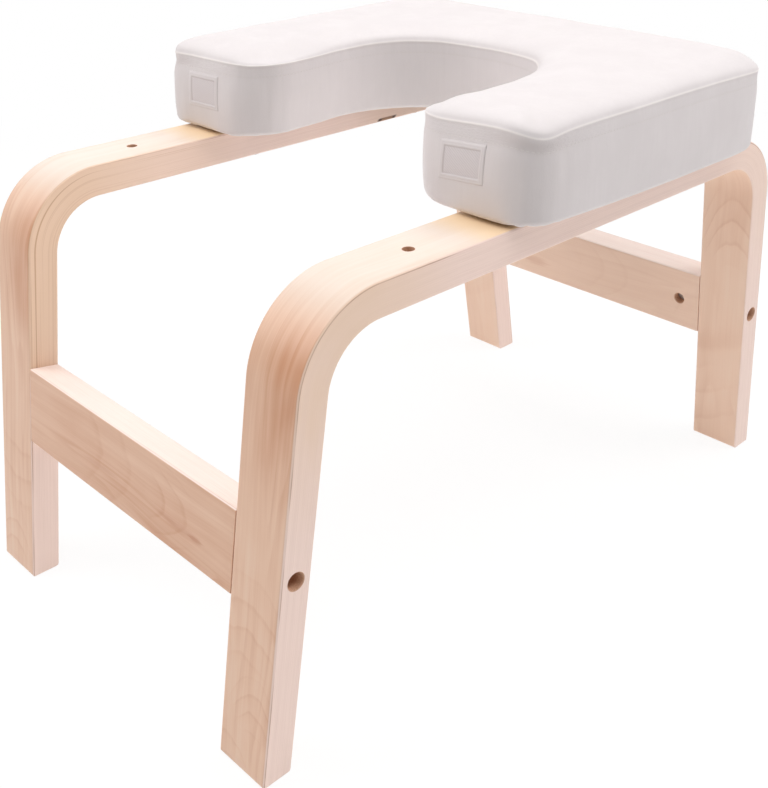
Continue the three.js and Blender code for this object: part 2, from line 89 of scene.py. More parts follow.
class StoolFrameSizes(bpy.types.PropertyGroup):
    frame_length: length("Frame length", "Length over the feet, at the floor", 0.650)
    strip_width: length("Strip width", "Width of the bent plywood strips",
                        (STRIP_HIGH[0] - STRIP_LOW[0]) * MM)
    strip_thickness: length("Strip thickness", "Thickness of the strips and rails", 0.025)
    frame_height: length("Frame height", "Top of the side frames above the floor", STRIP_HIGH[2] * MM)
    bend_radius: length("Bend radius", "Outer radius of the bends", 0.070)
    leg_lean: bpy.props.FloatProperty(name="Leg lean", description="How far the legs lean outwards",
                                      default=math.radians(10), subtype="ANGLE")
    edge_round: length("Edge rounding", "Rounding of the long edges", 0.0015)
    foot_round: length("Foot rounding", "Rounding of the wide faces at the floor", 0.004)
    rail_height: length("Rail height", "Height of the cross rails", 0.065)
    ply: length("Veneer", "Thickness of one veneer of the strips", 0.00147)


class StoolCushionSizes(bpy.types.PropertyGroup):
    ridge_height: length("Ridge height", "Height of the seam above the underside", 0.061)
    crown_rise: length("Crown rise", "Rise of the top panel above its seam", 0.0125)
    stitch_drop: length("Stitch drop", "Distance of the stitch row below the seam", 0.0091)
    stitch_pitch: length("Stitch pitch", "Distance from one stitch to the next", 0.0036)
    corner_draw: length("Corner draw", "How far the sides draw in under the seam at a corner", 0.0016)
    staple_pitch: length("Staple pitch", "Distance between staples under the cushion", 0.028)
    pressure: bpy.props.FloatProperty(name="Pressure", description="Pressure that swells the cover",
                                      default=4.0, min=0.0)


class StoolColours(bpy.types.PropertyGroup):
    birch_light: colour("Birch, light", "Lightest wood of the veneers", (0.87, 0.70, 0.555))
    birch_middle: colour("Birch, middle", "Common tone of the veneers", (0.80, 0.535, 0.38))
    birch_dark: colour("Birch, dark", "Dark streaks of the veneers", (0.60, 0.295, 0.16))
    edge_light: colour("Ply edge, light", "Veneers seen from the edge", (1.0, 0.80, 0.715))
    edge_dark: colour("Ply edge, dark", "Glue lines between veneers", (0.54, 0.35, 0.275))
    cover: colour("Cover", "Synthetic leather of the cushion", (0.775, 0.74, 0.745))
    thread: colour("Thread", "Stitches of the cushion", (0.80, 0.77, 0.75))
    cloth: colour("Under cloth", "Cloth below the cushion", (0.016, 0.016, 0.018))
    steel: colour("Steel", "Bolts, nuts and washers", (0.60, 0.61, 0.62))


class StoolStudio(bpy.types.PropertyGroup):
    left: power("Left lamp", "Power of the lamp on the camera's left", 39.0)
    right: power("Right lamp", "Power of the lamp on the camera's right", 33.0)
    top: power("Top lamp", "Power of the wide lamp above", 78.0)
    fill: bpy.props.FloatProperty(name="Fill", description="Level of the light from all round",
                                  default=0.02)
    floor_glow: bpy.props.FloatProperty(name="Floor glow", default=0.34,
                                        description="Light that the bright floor gives back")


# Meshes

def make_object(name, points, faces, material=None, smooth_angle=None, more=()):
    """An object at the origin from whole arrays: points in millimetres, faces as rows of corners.

    more holds further faces of other corner counts, such as caps.
    """
    mesh = bpy.data.meshes.new(name)
    mesh.vertices.add(len(points))
    mesh.vertices.foreach_set("co", (np.asarray(points, float) * MM).astype(np.float32).ravel())
    groups = [np.asarray(faces)] + [np.atleast_2d(f) for f in more]
    corners = np.concatenate([g.ravel() for g in groups]).astype(np.int32)
    counts = np.concatenate([np.full(len(g), g.shape[1]) for g in groups])
    mesh.loops.add(len(corners))
    mesh.loops.foreach_set("vertex_index", corners)
    mesh.polygons.add(len(counts))
    starts = np.concatenate([[0], np.cumsum(counts)[:-1]]).astype(np.int32)
    mesh.polygons.foreach_set("loop_start", starts)
    mesh.update(calc_edges=True)
    mesh.validate()
    obj = bpy.data.objects.new(name, mesh)
    bpy.context.scene.collection.objects.link(obj)
    if material:
        mesh.materials.append(material)
    shade(mesh, smooth_angle)
    return obj


def shade(mesh, angle=None):
    """Smooth shading, with edges sharper than the angle kept sharp."""
    mesh.shade_smooth()
    if angle:
        mesh.set_sharp_from_angle(angle=math.radians(angle))


def face_outwards(mesh):
    """Merges doubles and turns every face of a closed mesh outwards."""
    bm = bmesh.new()
    bm.from_mesh(mesh)
    bmesh.ops.remove_doubles(bm, verts=bm.verts, dist=1e-6)
    bmesh.ops.recalc_face_normals(bm, faces=bm.faces)
    bm.to_mesh(mesh)
    bm.free()
    mesh.update()


def apply_modifiers(obj):
    """Puts the result of an object's modifiers into its mesh."""
    graph = bpy.context.evaluated_depsgraph_get()
    mesh = bpy.data.meshes.new_from_object(obj.evaluated_get(graph))
    obj.modifiers.clear()
    old = obj.data
    obj.data = mesh
    bpy.data.meshes.remove(old)


def remove_with_mesh(obj):
    mesh = obj.data
    bpy.data.objects.remove(obj)
    bpy.data.meshes.remove(mesh)


def end_caps(count, rows):
    """The two closed ends of a tube that has so many rows of count points."""
    return np.array([np.arange(count)[::-1], np.arange(count) + (rows - 1) * count])


def band_quads(rows, columns, closed=True):
    """Quads between neighbouring rows of a grid, whose columns may close on themselves."""
    r = np.arange(rows - 1)[:, None]
    c = np.arange(columns if closed else columns - 1)[None, :]
    n = (c + 1) % columns
    quads = np.stack([r * columns + c, r * columns + n, (r + 1) * columns + n, (r + 1) * columns + c], -1)
    return quads.reshape(-1, 4)


def vertex_normals(points, faces):
    """Normals of the vertices of a quad mesh: the sum of the cross products of each face's diagonals."""
    a, b, c, d = (points[faces[:, k]] for k in range(4))
    cross = np.cross(c - a, d - b)
    normals = np.zeros_like(points)
    for k in range(4):
        for axis in range(3):
            normals[:, axis] += np.bincount(faces[:, k], cross[:, axis], len(points))
    return normals / np.maximum(np.linalg.norm(normals, axis=1, keepdims=True), 1e-9)


def soft_noise(points, size, seed, waves=28):
    """Smooth unevenness at points: a sum of plane waves in random directions, about -1 to 1."""
    rng = np.random.default_rng(seed)
    ways = rng.normal(size=(waves, 3))
    ways /= np.linalg.norm(ways, axis=1, keepdims=True)
    ways *= (2 * np.pi / size) * rng.uniform(0.6, 1.5, (waves, 1))
    phases = rng.uniform(0, 2 * np.pi, waves)
    return np.cos(points @ ways.T + phases).sum(1) / math.sqrt(waves / 2) / 1.6


def hill(x, middle, spread):
    """Bell curve of height 1."""
    return np.exp(-0.5 * ((x - middle) / spread) ** 2)


def step(x, start, end):
    """Smooth step from 0 at start to 1 at end."""
    t = np.clip((x - start) / (end - start), 0, 1)
    return t * t * (3 - 2 * t)


def eased_ring(half_width, half_depth, radius, steps=4, support=0.5):
    """Rounded rectangle: four arcs, each with a support point a little way along its flat sides.

    Returns width, depth and how far the outward normal leans to the depth, for each point.
    """
    parts = []
    for k, (sx, sd) in enumerate([(1, 1), (-1, 1), (-1, -1), (1, -1)]):
        a = np.radians(90 * k) + np.linspace(0, np.pi / 2, steps + 1)
        x = sx * (half_width - radius) + radius * np.cos(a)
        d = sd * (half_depth - radius) + radius * np.sin(a)
        t0, t1 = a[0] - np.pi / 2, a[-1] + np.pi / 2
        x = np.concatenate([[x[0] + support * np.cos(t0)], x, [x[-1] + support * np.cos(t1)]])
        d = np.concatenate([[d[0] + support * np.sin(t0)], d, [d[-1] + support * np.sin(t1)]])
        lean = np.abs(np.sin(np.concatenate([[a[0]], a, [a[-1]]])))
        parts.append(np.stack([x, d, lean]))
    return np.concatenate(parts, axis=1)


def turned_cutters(shapes, facets=40):
    """Cutters for holes. Each has a start, a direction and a profile of distances and radii, and is
    that profile turned round the line; its ends close on the line."""
    points, quads, caps = [], [], []
    base = 0
    for start, way, profile in shapes:
        way = np.array(way, float) / np.linalg.norm(way)
        other = np.array([0, 0, 1.0]) if abs(way[2]) < 0.9 else np.array([1.0, 0, 0])
        u = np.cross(way, other)
        u /= np.linalg.norm(u)
        v = np.cross(way, u)
        along, radius = np.array(profile, float).T
        a = np.linspace(0, 2 * np.pi, facets, endpoint=False)
        ring = radius[:, None, None] * (np.cos(a)[None, :, None] * u + np.sin(a)[None, :, None] * v)
        points.append((np.array(start, float) + along[:, None, None] * way + ring).reshape(-1, 3))
        quads.append(band_quads(len(along), facets) + base)
        caps.extend(end_caps(facets, len(along)) + base)
        base += len(along) * facets
    return np.concatenate(points), np.concatenate(quads), [np.array(caps)]


def bore(obj, shapes, bore_material):
    """Cuts holes into a closed wooden piece and gives their walls the second material."""
    points, quads, caps = turned_cutters(shapes)
    cutter = make_object(obj.name + "_cutter", points, quads, more=caps)
    face_outwards(cutter.data)
    obj.data.materials.append(bore_material)
    for material in obj.data.materials:
        cutter.data.materials.append(material)
    cutter.data.polygons.foreach_set("material_index", np.ones(len(cutter.data.polygons), np.int32))
    cut = obj.modifiers.new("bores", "BOOLEAN")
    cut.operation, cut.solver, cut.object = "DIFFERENCE", "EXACT", cutter
    apply_modifiers(obj)
    remove_with_mesh(cutter)


def vertex_array(mesh):
    """The points of a mesh, in millimetres."""
    points = np.empty(len(mesh.vertices) * 3, np.float32)
    mesh.vertices.foreach_get("co", points)
    return points.reshape(-1, 3).astype(float) / MM


def store(mesh, name, values):
    """Keeps a number or a vector for each point, for the material to read."""
    values = np.asarray(values, np.float32)
    kind, key = ("FLOAT", "value") if values.ndim == 1 else ("FLOAT_VECTOR", "vector")
    mesh.attributes.new(name, kind, "POINT").data.foreach_set(key, values.ravel())


# Node helpers

class Value:
    """A value in a node tree. Arithmetic with it adds the math nodes that it takes."""

    def __init__(self, web, socket):
        self.web, self.socket = web, socket

    def __add__(self, other):
        return self.web.math("ADD", self, other)

    def __sub__(self, other):
        return self.web.math("SUBTRACT", self, other)

    def __mul__(self, other):
        return self.web.math("MULTIPLY", self, other)

    def __truediv__(self, other):
        return self.web.math("DIVIDE", self, other)

    def __rtruediv__(self, other):
        return self.web.math("DIVIDE", other, self)

    def __abs__(self):
        return self.web.math("ABSOLUTE", self)

    __radd__, __rmul__ = __add__, __mul__


class Web:
    """Adds and links the nodes of one material, group or world."""

    def __init__(self, tree):
        self.tree = tree
        tree.nodes.clear()

    def add(self, kind, values=None, **settings):
        made = self.tree.nodes.new(kind)
        for key, value in settings.items():
            setattr(made, key, value)
        for key, value in (values or {}).items():
            self.feed(made.inputs[key], value)
        return made

    def get(self, kind, values=None, output=0, **settings):
        """One output of a new node."""
        return Value(self, self.add(kind, values, **settings).outputs[output])

    def feed(self, socket, value):
        """Links a value to a socket, or sets a number, vector or colour on it."""
        if isinstance(value, Value):
            self.tree.links.new(value.socket, socket)
        elif hasattr(value, "__len__") and len(value) == 3 and len(socket.default_value) == 4:
            socket.default_value = (*value, 1.0)
        else:
            socket.default_value = value

    def math(self, kind, *values, clamp=False):
        return self.get("ShaderNodeMath", dict(enumerate(values)), operation=kind, use_clamp=clamp)

    def vector(self, kind, *values):
        sockets = (0, 3) if kind == "SCALE" else (0, 1)
        return self.get("ShaderNodeVectorMath", dict(zip(sockets, values)),
                        "Value" if kind == "LENGTH" else "Vector", operation=kind)

    def join(self, x, y, z):
        return self.get("ShaderNodeCombineXYZ", {0: x, 1: y, 2: z})

    def split(self, vector):
        return [Value(self, output) for output in self.add("ShaderNodeSeparateXYZ", {0: vector}).outputs]

    def noise(self, vector, scale=1.0, detail=2.0, roughness=0.5, distortion=0.0, output="Fac"):
        return self.get("ShaderNodeTexNoise", {"Vector": vector, "Scale": scale, "Detail": detail,
                                               "Roughness": roughness, "Distortion": distortion}, output)

    def range(self, value, low, high, to_low=0.0, to_high=1.0):
        """A smooth step, from to_low where the value is low to to_high where it is high."""
        return self.get("ShaderNodeMapRange", {0: value, 1: low, 2: high, 3: to_low, 4: to_high},
                        interpolation_type="SMOOTHSTEP")

    def fall(self, value, low, high):
        """A smooth step from 1 down to 0."""
        return self.range(value, low, high, 1.0, 0.0)

    def mix(self, share, first, second):
        """The first colour, turned into the second one by a share."""
        return self.get("ShaderNodeMix", {0: share, 6: first, 7: second}, 2, data_type="RGBA")

    def ramp(self, value, stops):
        made = self.add("ShaderNodeValToRGB", {0: value})
        elements = made.color_ramp.elements
        while len(elements) < len(stops):
            elements.new(0.5)
        for element, (place, tone) in zip(elements, stops):
            element.position = place
            element.color = (*tone, 1.0)
        return Value(self, made.outputs[0])

    def group(self, name, **values):
        """The outputs of a node group, whose inputs are the keys in plain words."""
        made = self.add("ShaderNodeGroup", node_tree=bpy.data.node_groups[name])
        for key, value in values.items():
            self.feed(made.inputs[key.replace("_", " ").capitalize()], value)
        return {output.name: Value(self, output) for output in made.outputs}

    def fibres(self, vector, length, width, seed, detail):
        """Noise drawn out along the first axis, about 0 to 1."""
        return self.group("Fibres", vector=vector, length=length, width=width, seed=seed,
                          detail=detail)["Value"]

    def attribute(self, name, output="Fac"):
        return self.get("ShaderNodeAttribute", output=output, attribute_name=name)

    def place(self):
        """The place on the object, in millimetres."""
        return self.vector("SCALE", self.get("ShaderNodeTexCoord", output="Object"), 1 / MM)

    def bump(self, strength, distance, height, **more):
        return self.get("ShaderNodeBump", {"Strength": strength, "Distance": distance,
                                           "Height": height, **more})

    def surface(self, **values):
        """Ends a material with a principled shader, whose inputs are the keys in title case."""
        named = {key.replace("_", " ").title().replace("Ior", "IOR"): value for key, value in values.items()}
        shader = self.get("ShaderNodeBsdfPrincipled", named)
        self.add("ShaderNodeOutputMaterial", {"Surface": shader})

    def looked_at(self):
        """1 for a ray that shows the stage itself, also by way of gloss or glass, and 0 for other light."""
        rays = self.add("ShaderNodeLightPath").outputs
        camera, glossy, through = (Value(self, rays[f"Is {kind} Ray"])
                                   for kind in ("Camera", "Glossy", "Transmission"))
        return self.math("MAXIMUM", camera, self.math("MAXIMUM", glossy, through))


def new_group(name, vectors, numbers, results):
    """An empty node group. Returns its web, its inputs as values and the sockets that take its results."""
    tree = bpy.data.node_groups.new(name, "ShaderNodeTree")
    for label in (*vectors, *numbers):
        kind = "NodeSocketVector" if label in vectors else "NodeSocketFloat"
        tree.interface.new_socket(label, in_out="INPUT", socket_type=kind)
    for label in results:
        tree.interface.new_socket(label, in_out="OUTPUT", socket_type="NodeSocketFloat")
    web = Web(tree)
    given = {output.name: Value(web, output) for output in web.add("NodeGroupInput").outputs if output.name}
    return web, given, web.add("NodeGroupOutput").inputs


def new_material(name):
    material = bpy.data.materials.new(name)
    material.use_nodes = True
    return material, Web(material.node_tree)


def scaled(colour, share):
    """A colour with each of its parts times a share."""
    return tuple(share * part for part in colour)


def build_groups():
    """Shared effects. Lengths in them are millimetres."""
    # Fibres: noise drawn out along the first axis
    web, given, out = new_group("Fibres", ["Vector"], ["Length", "Width", "Seed", "Detail"], ["Value"])
    across = 1.0 / given["Width"]
    drawn = web.vector("MULTIPLY", given["Vector"], web.join(1.0 / given["Length"], across, across))
    moved = web.vector("ADD", drawn, web.join(given["Seed"], given["Seed"], given["Seed"]))
    web.feed(out["Value"], web.noise(moved, 1.0, given["Detail"], 0.6))

    # Growth rings: contour lines of a slow field, each fading in and ending sharply
    web, given, out = new_group("Growth rings", ["Vector"], ["Length", "Width", "Rings", "Seed"], ["Value"])
    field = web.fibres(given["Vector"], given["Length"], given["Width"], given["Seed"], 1.2)
    phase = web.math("FRACT", field * given["Rings"])
    web.feed(out["Value"], web.range(phase, 0.25, 0.86) * web.fall(phase, 0.9, 1.0))

    # Flame: arcs of growth rings across the strip, one above the other, around a place
    web, given, out = new_group("Flame", ["Vector", "Place"], ["Pitch", "Arch", "Reach", "Seed"], ["Value"])
    away = web.vector("SUBTRACT", given["Vector"], given["Place"])
    along, across, _ = web.split(away)
    sway = web.fibres(given["Vector"], 26.0, 13.0, given["Seed"], 1.0)
    field = (along + across * across * given["Arch"] + sway * 9.0) / given["Pitch"]
    phase = web.math("FRACT", field + 40.0)
    line = web.range(phase, 0.1, 0.84) * 0.35 + web.range(phase, 0.72, 0.88) * 0.65
    far = web.vector("LENGTH", web.vector("MULTIPLY", away, (1.0, 0.9, 9.0))) / given["Reach"]
    web.feed(out["Value"], line * web.fall(phase, 0.91, 1.0) * web.fall(far, 0.35, 1.15))

    # Ply edge: where the narrow faces are, the glue lines there, and a tone for each veneer
    web, given, out = new_group("Ply edge", ["Vector"], ["Half width", "Ply", "Seed"],
                                ["Mask", "Lines", "Tone"])
    _, across, depth = web.split(given["Vector"])
    web.feed(out["Mask"], web.range(abs(across) - given["Half width"], -1.1, -0.45))
    sway = web.fibres(given["Vector"], 120.0, 9.0, given["Seed"], 1.0)
    count = (depth + sway * 0.5) / given["Ply"] + 50.25
    strength = web.fibres(given["Vector"], 55.0, 1.2, given["Seed"], 2.0)
    lines = web.range(abs(web.math("FRACT", count) - 0.5), 0.36, 0.5)
    web.feed(out["Lines"], lines * web.range(strength, 0.3, 0.75))
    number = web.math("FLOOR", count)
    web.feed(out["Tone"], web.get("ShaderNodeTexWhiteNoise", {"W": number + given["Seed"]}, "Value",
                                  noise_dimensions="1D"))

    # Grain of the synthetic leather: small rounded cells over soft unevenness
    web, given, out = new_group("Leather grain", ["Vector"], ["Cell"], ["Height", "Mottle"])
    vector = web.vector("SCALE", given["Vector"], 1.0 / given["Cell"])
    wander = web.vector("SCALE", web.noise(vector, 0.8, 1.0, output="Color"), 0.7)
    cells = web.get("ShaderNodeTexVoronoi", {"Vector": web.vector("ADD", vector, wander), "Scale": 1.0,
                                             "Smoothness": 0.35}, "Distance", feature="SMOOTH_F1")
    web.feed(out["Height"], web.noise(vector, 2.4, 2.0) * 0.35 - cells)
    web.feed(out["Mottle"], web.noise(given["Vector"], 0.03, 3.0, 0.55))


def knotted(web, face, knots, vector, fibres):
    """Draws dark marks with frayed ends into a face: place, length, width and strength of each."""
    for at, long, wide, strength in knots:
        away = web.vector("MULTIPLY", web.vector("SUBTRACT", vector, at), (1 / long, 1 / wide, 0.1))
        spot = web.vector("LENGTH", away) + (fibres - 0.5) * 2.2
        face = web.mix(web.fall(spot, 0.5, 1.3) * strength, face, (0.52, 0.205, 0.10))
    return face


def painted_light_on_strip(web, face, dark, place, depth):
    """The face of a bent strip with painted light: a painted sheen pales its top run, painted warm light lies
    in the cushion's shadow, and painted fill light lightens its inner side.
    """
    # Painted sheen: the upper face of the top run paled
    pale = web.mix(web.range(dark, 0.2, 0.8), (0.88, 0.80, 0.725), (0.80, 0.67, 0.56))
    face = web.mix(web.fall(place, 220.0, 256.0) * web.range(depth, 2.0, 8.0) * 0.88, face, pale)
    # Painted warm light where the cushion's shadow falls on the strip
    face = web.mix(web.range(place, 94.0, 126.0, 0.9, 0.0), face, (1.0, 0.75, 0.48))
    # Painted fill light: the inner side lightened where it lies in shade
    return web.mix(web.range(depth, -9.0, -5.0, 0.42, 0.0), face, (0.97, 0.76, 0.62))


def golden_side(web, pale, raw, place, seed, sliver):
    """The left frame's inner side: a golden top run with drawn lines, and a dark sliver with a paler
    middle, from start to end along the strip and from low to high in its depth."""
    along, across, depth = web.split(raw)
    inner = web.range(across, 20.0, 24.0)
    golden = web.range(place, 50.0, 120.0, 0.0, 0.45) + web.range(place, 170.0, 235.0, 0.0, 0.55)
    golden = inner * (golden * web.fall(place, 382.0, 394.0))
    pale = web.mix(golden * 0.8, pale, (0.895, 0.645, 0.46))
    drawn = web.range(web.fibres(raw, 210.0, 1.3, seed + 6.6, 1.0), 0.5, 0.64)
    pale = web.mix(drawn * web.range(depth, 0.0, 8.0, 0.2, 0.7) * golden, pale, (0.56, 0.31, 0.155))
    start, end, low, high = sliver
    slanting = along - (depth - low) * 0.9
    soft = 3.5
    for inset, tint in ((0.0, (0.09, 0.04, 0.025)), (4.5, (0.42, 0.24, 0.14))):
        first, last = start + inset, end - inset
        inside = web.range(slanting, first, first + soft) * web.fall(slanting, last - soft, last)
        inside = inside * web.range(depth, low, low + 0.8) * web.fall(depth, high - 1.2, high) * inner
        pale = web.mix(inside, pale, tint)
    return pale


def birch_material(name, seed, half_width, flames=(), knots=(), bent=False, tone=0.0, lift=0.0, sliver=None):
    """Lacquered birch plywood. Attribute "strip" holds the distance along, across and in depth, in mm.

    A bent strip has painted light and shade: a painted sheen pales its top run, painted shade browns it just
    below the bends, painted warm light lies in the cushion's shadow and painted fill light lightens its inner
    side.
    """
    sizes, tones = bpy.context.scene.stool_frame, bpy.context.scene.stool_colours
    material, web = new_material(name)
    raw = web.attribute("strip", "Vector")
    along, across, depth = web.split(raw)
    place = abs(along)
    bow = web.fibres(raw, 210.0, 60.0, seed + 3.1, 1.0) - 0.5
    vector = web.join(along, across + bow * 26.0, depth)

    # How dark the wide faces are, from the lightest tone at 0 to the darkest at 1
    bands = web.fibres(vector, 300.0, 8.0, seed, 3.0)
    fibres = web.fibres(vector, 70.0, 0.9, seed + 7.7, 3.0)
    clouds = web.fibres(vector, 95.0, 34.0, seed + 1.9, 2.0)
    rings = web.group("Growth rings", vector=vector, length=260.0, width=22.0, rings=7.0,
                      seed=seed + 5.3)["Value"]
    figure = web.range(web.fibres(vector, 140.0, 30.0, seed + 11.0, 1.0), 0.42, 0.6)
    dark = (0.44 + tone + (bands - 0.5) * 0.46 + (fibres - 0.5) * 0.28 + (clouds - 0.5) * 0.42
            + rings * figure * 0.13)
    for at, pitch, arch, reach, strength in flames:
        lines = web.group("Flame", vector=raw, place=at, pitch=pitch, arch=arch, reach=reach, seed=seed)
        dark = dark + lines["Value"] * strength
    if bent:
        # Painted shade: the wide faces darker just below the bends
        shade_below_bends = web.range(place, 236.0, 272.0) * web.fall(place, 296.0, 380.0)
        shade_below_bends = shade_below_bends * web.range(depth, -9.0, -5.0, 0.3, 1.0) * web.range(across, -22.0, 24.0, 0.4, 1.15)
        dark = dark + shade_below_bends * web.range(clouds, 0.3, 0.7, 0.7, 1.2) * 0.35
    face = web.ramp(dark, [(0.0, tones.birch_light), (0.45, tones.birch_middle), (1.0, tones.birch_dark)])
    # Painted fill light: lift pales the faces of a piece that lies in shade
    face = web.mix(lift, face, (0.96, 0.76, 0.63))
    if bent:
        face = painted_light_on_strip(web, face, dark, place, depth)
    face = knotted(web, face, knots, vector, fibres)

    # The narrow faces, where the veneers show from the edge
    edge = web.group("Ply edge", vector=raw, half_width=half_width, ply=sizes.ply / MM, seed=seed)
    hair = web.fibres(raw, 28.0, 0.42, seed + 2.2, 3.0)
    streak = [0.92 * a + 0.08 * b for a, b in zip(tones.edge_light, tones.edge_dark)]
    pale = web.mix(web.range(hair, 0.3, 0.75), tones.edge_light, streak)
    pale = web.mix(edge["Tone"] * 0.09, pale, tones.edge_dark)
    pale = web.mix(edge["Lines"] * 0.3, pale, tones.edge_dark)
    if bent:
        warm = web.range(place, 120.0, 220.0) * web.fall(place, 300.0, 400.0)
        warm = warm * web.range(along, 0.0, 150.0, 1.0, 0.35) * web.range(clouds, 0.3, 0.7, 0.35, 0.85)
        pale = web.mix(warm, pale, (0.90, 0.68, 0.515))
    else:
        pale = web.mix(web.range(hair, 0.35, 0.7, 0.55, 0.3), pale, (0.95, 0.88, 0.83))
    worn = web.fibres(raw, 90.0, 40.0, seed + 9.4, 2.0)
    glue = web.range(depth, 10.6, 11.1) * web.fall(depth, 11.4, 11.8)
    glue = glue * web.range(worn, 0.36, 0.62, 0.05, 0.6 if bent else 0.25)
    pale = web.mix(glue, pale, (0.38, 0.175, 0.085))
    if sliver:
        pale = golden_side(web, pale, raw, place, seed, sliver)

    height = fibres * 0.6 + hair * 0.5 - edge["Lines"] * edge["Mask"]
    web.surface(base_color=web.mix(edge["Mask"], face, pale),
                roughness=0.36 + bands * 0.14 + edge["Mask"] * 0.12, specular_ior_level=0.5,
                coat_weight=0.18, coat_roughness=0.3, normal=web.bump(0.22, 0.00025, height))
    return material


def bore_material():
    """Walls of the drilled holes: raw, darker veneers."""
    tones = bpy.context.scene.stool_colours
    material, web = new_material("bored_birch")
    speck = web.noise(web.place(), 0.9, 3.0)
    web.surface(base_color=web.mix(speck, scaled(tones.birch_dark, 0.75), tones.birch_middle),
                roughness=0.75, normal=web.bump(0.4, 0.0003, speck))
    return material


# The wooden frame

# Rows of points along half of a bent strip, on its top run, bend, leg and rounded foot, and along the
# middle of a rail, which ends RAIL_MARGIN before the end faces
TOP_ROWS, BEND_ROWS, LEG_ROWS, FOOT_ROWS = 26, 41, 25, 7
RAIL_ROWS, RAIL_MARGIN = 24, 8
# How far a rail's ring is drawn in at its end faces
RAIL_END_SHARE = 0.985


def strip_plan():
    """The numbers of a bent strip, in millimetres, from the frame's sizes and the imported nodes."""
    sizes = bpy.context.scene.stool_frame
    half = sizes.strip_thickness / MM / 2
    lean = sizes.leg_lean
    mean = sizes.bend_radius / MM - half
    bend_z = sizes.frame_height / MM - sizes.bend_radius / MM
    outer = sizes.frame_length / MM / 2
    slope = math.tan(lean)
    bend_y = outer - bend_z * slope - (mean + half) * (math.cos(lean) + math.sin(lean) * slope)
    return dict(half=half, lean=lean, mean=mean, bend_y=bend_y, bend_z=bend_z,
                half_width=sizes.strip_width / MM / 2, edge=sizes.edge_round / MM,
                foot=sizes.foot_round / MM, turn=math.pi / 2 - lean)


def bent_strip(plan):
    """Half of the arch, from its middle to the floor, as rows of one ring, then mirrored.

    A point of the ring at depth d keeps that distance from the centre line: level with it on the top,
    at radius mean + d round the bend, and beside it down the leg. At the floor the ring draws in along
    a quarter circle.
    """
    x, d, wide = eased_ring(plan["half_width"], plan["half"], plan["edge"])
    lean, mean = plan["lean"], plan["mean"]
    top = np.linspace(0, plan["bend_y"], TOP_ROWS)[:, None]
    rows_y, rows_z, rows_x = [top + 0 * d], [plan["bend_z"] + mean + d + 0 * top], [x + 0 * top]
    angle = np.linspace(0, plan["turn"], BEND_ROWS)[1:, None]
    rows_y.append(plan["bend_y"] + (mean + d) * np.sin(angle))
    rows_z.append(plan["bend_z"] + (mean + d) * np.cos(angle))
    rows_x.append(x + 0 * angle)

    def leg(depth, z):
        start = plan["bend_z"] + (mean + depth) * math.sin(lean)
        return plan["bend_y"] + (mean + depth) * math.cos(lean) + (start - z) * math.tan(lean)

    ease = plan["edge"] + (plan["foot"] - plan["edge"]) * wide ** 2
    share = np.linspace(0, 1, LEG_ROWS)[1:, None]
    z = (plan["bend_z"] + (mean + d) * math.sin(lean)) * (1 - share) + ease * share
    rows_y.append(leg(d, z))
    rows_z.append(z)
    rows_x.append(x + 0 * share)
    a = np.linspace(0, np.pi / 2, FOOT_ROWS)[1:, None]
    drawn_x = x * (plan["half_width"] - plan["edge"] * (1 - np.cos(a))) / plan["half_width"]
    drawn_d = d * (plan["half"] - plan["foot"] * (1 - np.cos(a))) / plan["half"]
    z = ease * (1 - np.sin(a))
    rows_y.append(leg(drawn_d, z))
    rows_z.append(z)
    rows_x.append(drawn_x)
    half = np.stack([np.concatenate(rows_x), np.concatenate(rows_y), np.concatenate(rows_z)], -1)
    front = half[:0:-1] * np.array([1, -1, 1])
    grid = np.concatenate([front, half])
    count = grid.shape[1]
    quads = band_quads(len(grid), count)
    return grid.reshape(-1, 3), quads, [end_caps(count, len(grid))]


def strip_coordinates(points, plan, middle_x):
    """Distance along the bent strip from its middle, across it and out from its centre line."""
    y, z = np.abs(points[:, 1]), points[:, 2]
    dy, dz = y - plan["bend_y"], z - plan["bend_z"]
    angle = np.arctan2(dy, dz)
    lean, turn, mean = plan["lean"], plan["turn"], plan["mean"]
    down = dy * math.sin(lean) - dz * math.cos(lean)
    out = dy * math.cos(lean) + dz * math.sin(lean)
    on_top, on_leg = dy <= 0, (dy > 0) & (angle > turn)
    along = np.where(on_top, y, np.where(on_leg, plan["bend_y"] + mean * turn + down,
                                         plan["bend_y"] + mean * angle))
    depth = np.where(on_top, dz - mean, np.where(on_leg, out - mean, np.hypot(dy, dz) - mean))
    return np.stack([along * np.sign(points[:, 1]), points[:, 0] - middle_x, depth], -1)


# Arcs of growth rings: place in the strip, pitch, arch, reach and strength
RIGHT_FLAMES = [((-455, -4, 12), 21.0, 0.016, 44.0, 0.13), ((-517, 9, 12), 15.0, 0.04, 28.0, 0.14),
                ((-566, -16, 12), 17.0, 0.03, 26.0, 0.11), ((318, 8, -12), 22.0, -0.05, 42.0, 0.3),
                ((480, -60, -12), 130.0, 0.004, 120.0, 0.28), ((530, -50, -12), 34.0, 0.006, 75.0, 0.2)]
LEFT_FLAMES = [((-480, 6, 12), 26.0, -0.012, 44.0, 0.12), ((-545, -6, 12), 18.0, 0.03, 30.0, 0.15),
               ((450, -38, -12), 70.0, 0.008, 75.0, 0.18), ((330, 3, -12), 26.0, -0.02, 40.0, 0.2)]
# The dark sliver: from and to along the left strip, and from and to in its depth
SLIVER = (96.0, 123.0, -12.2, -8.6)

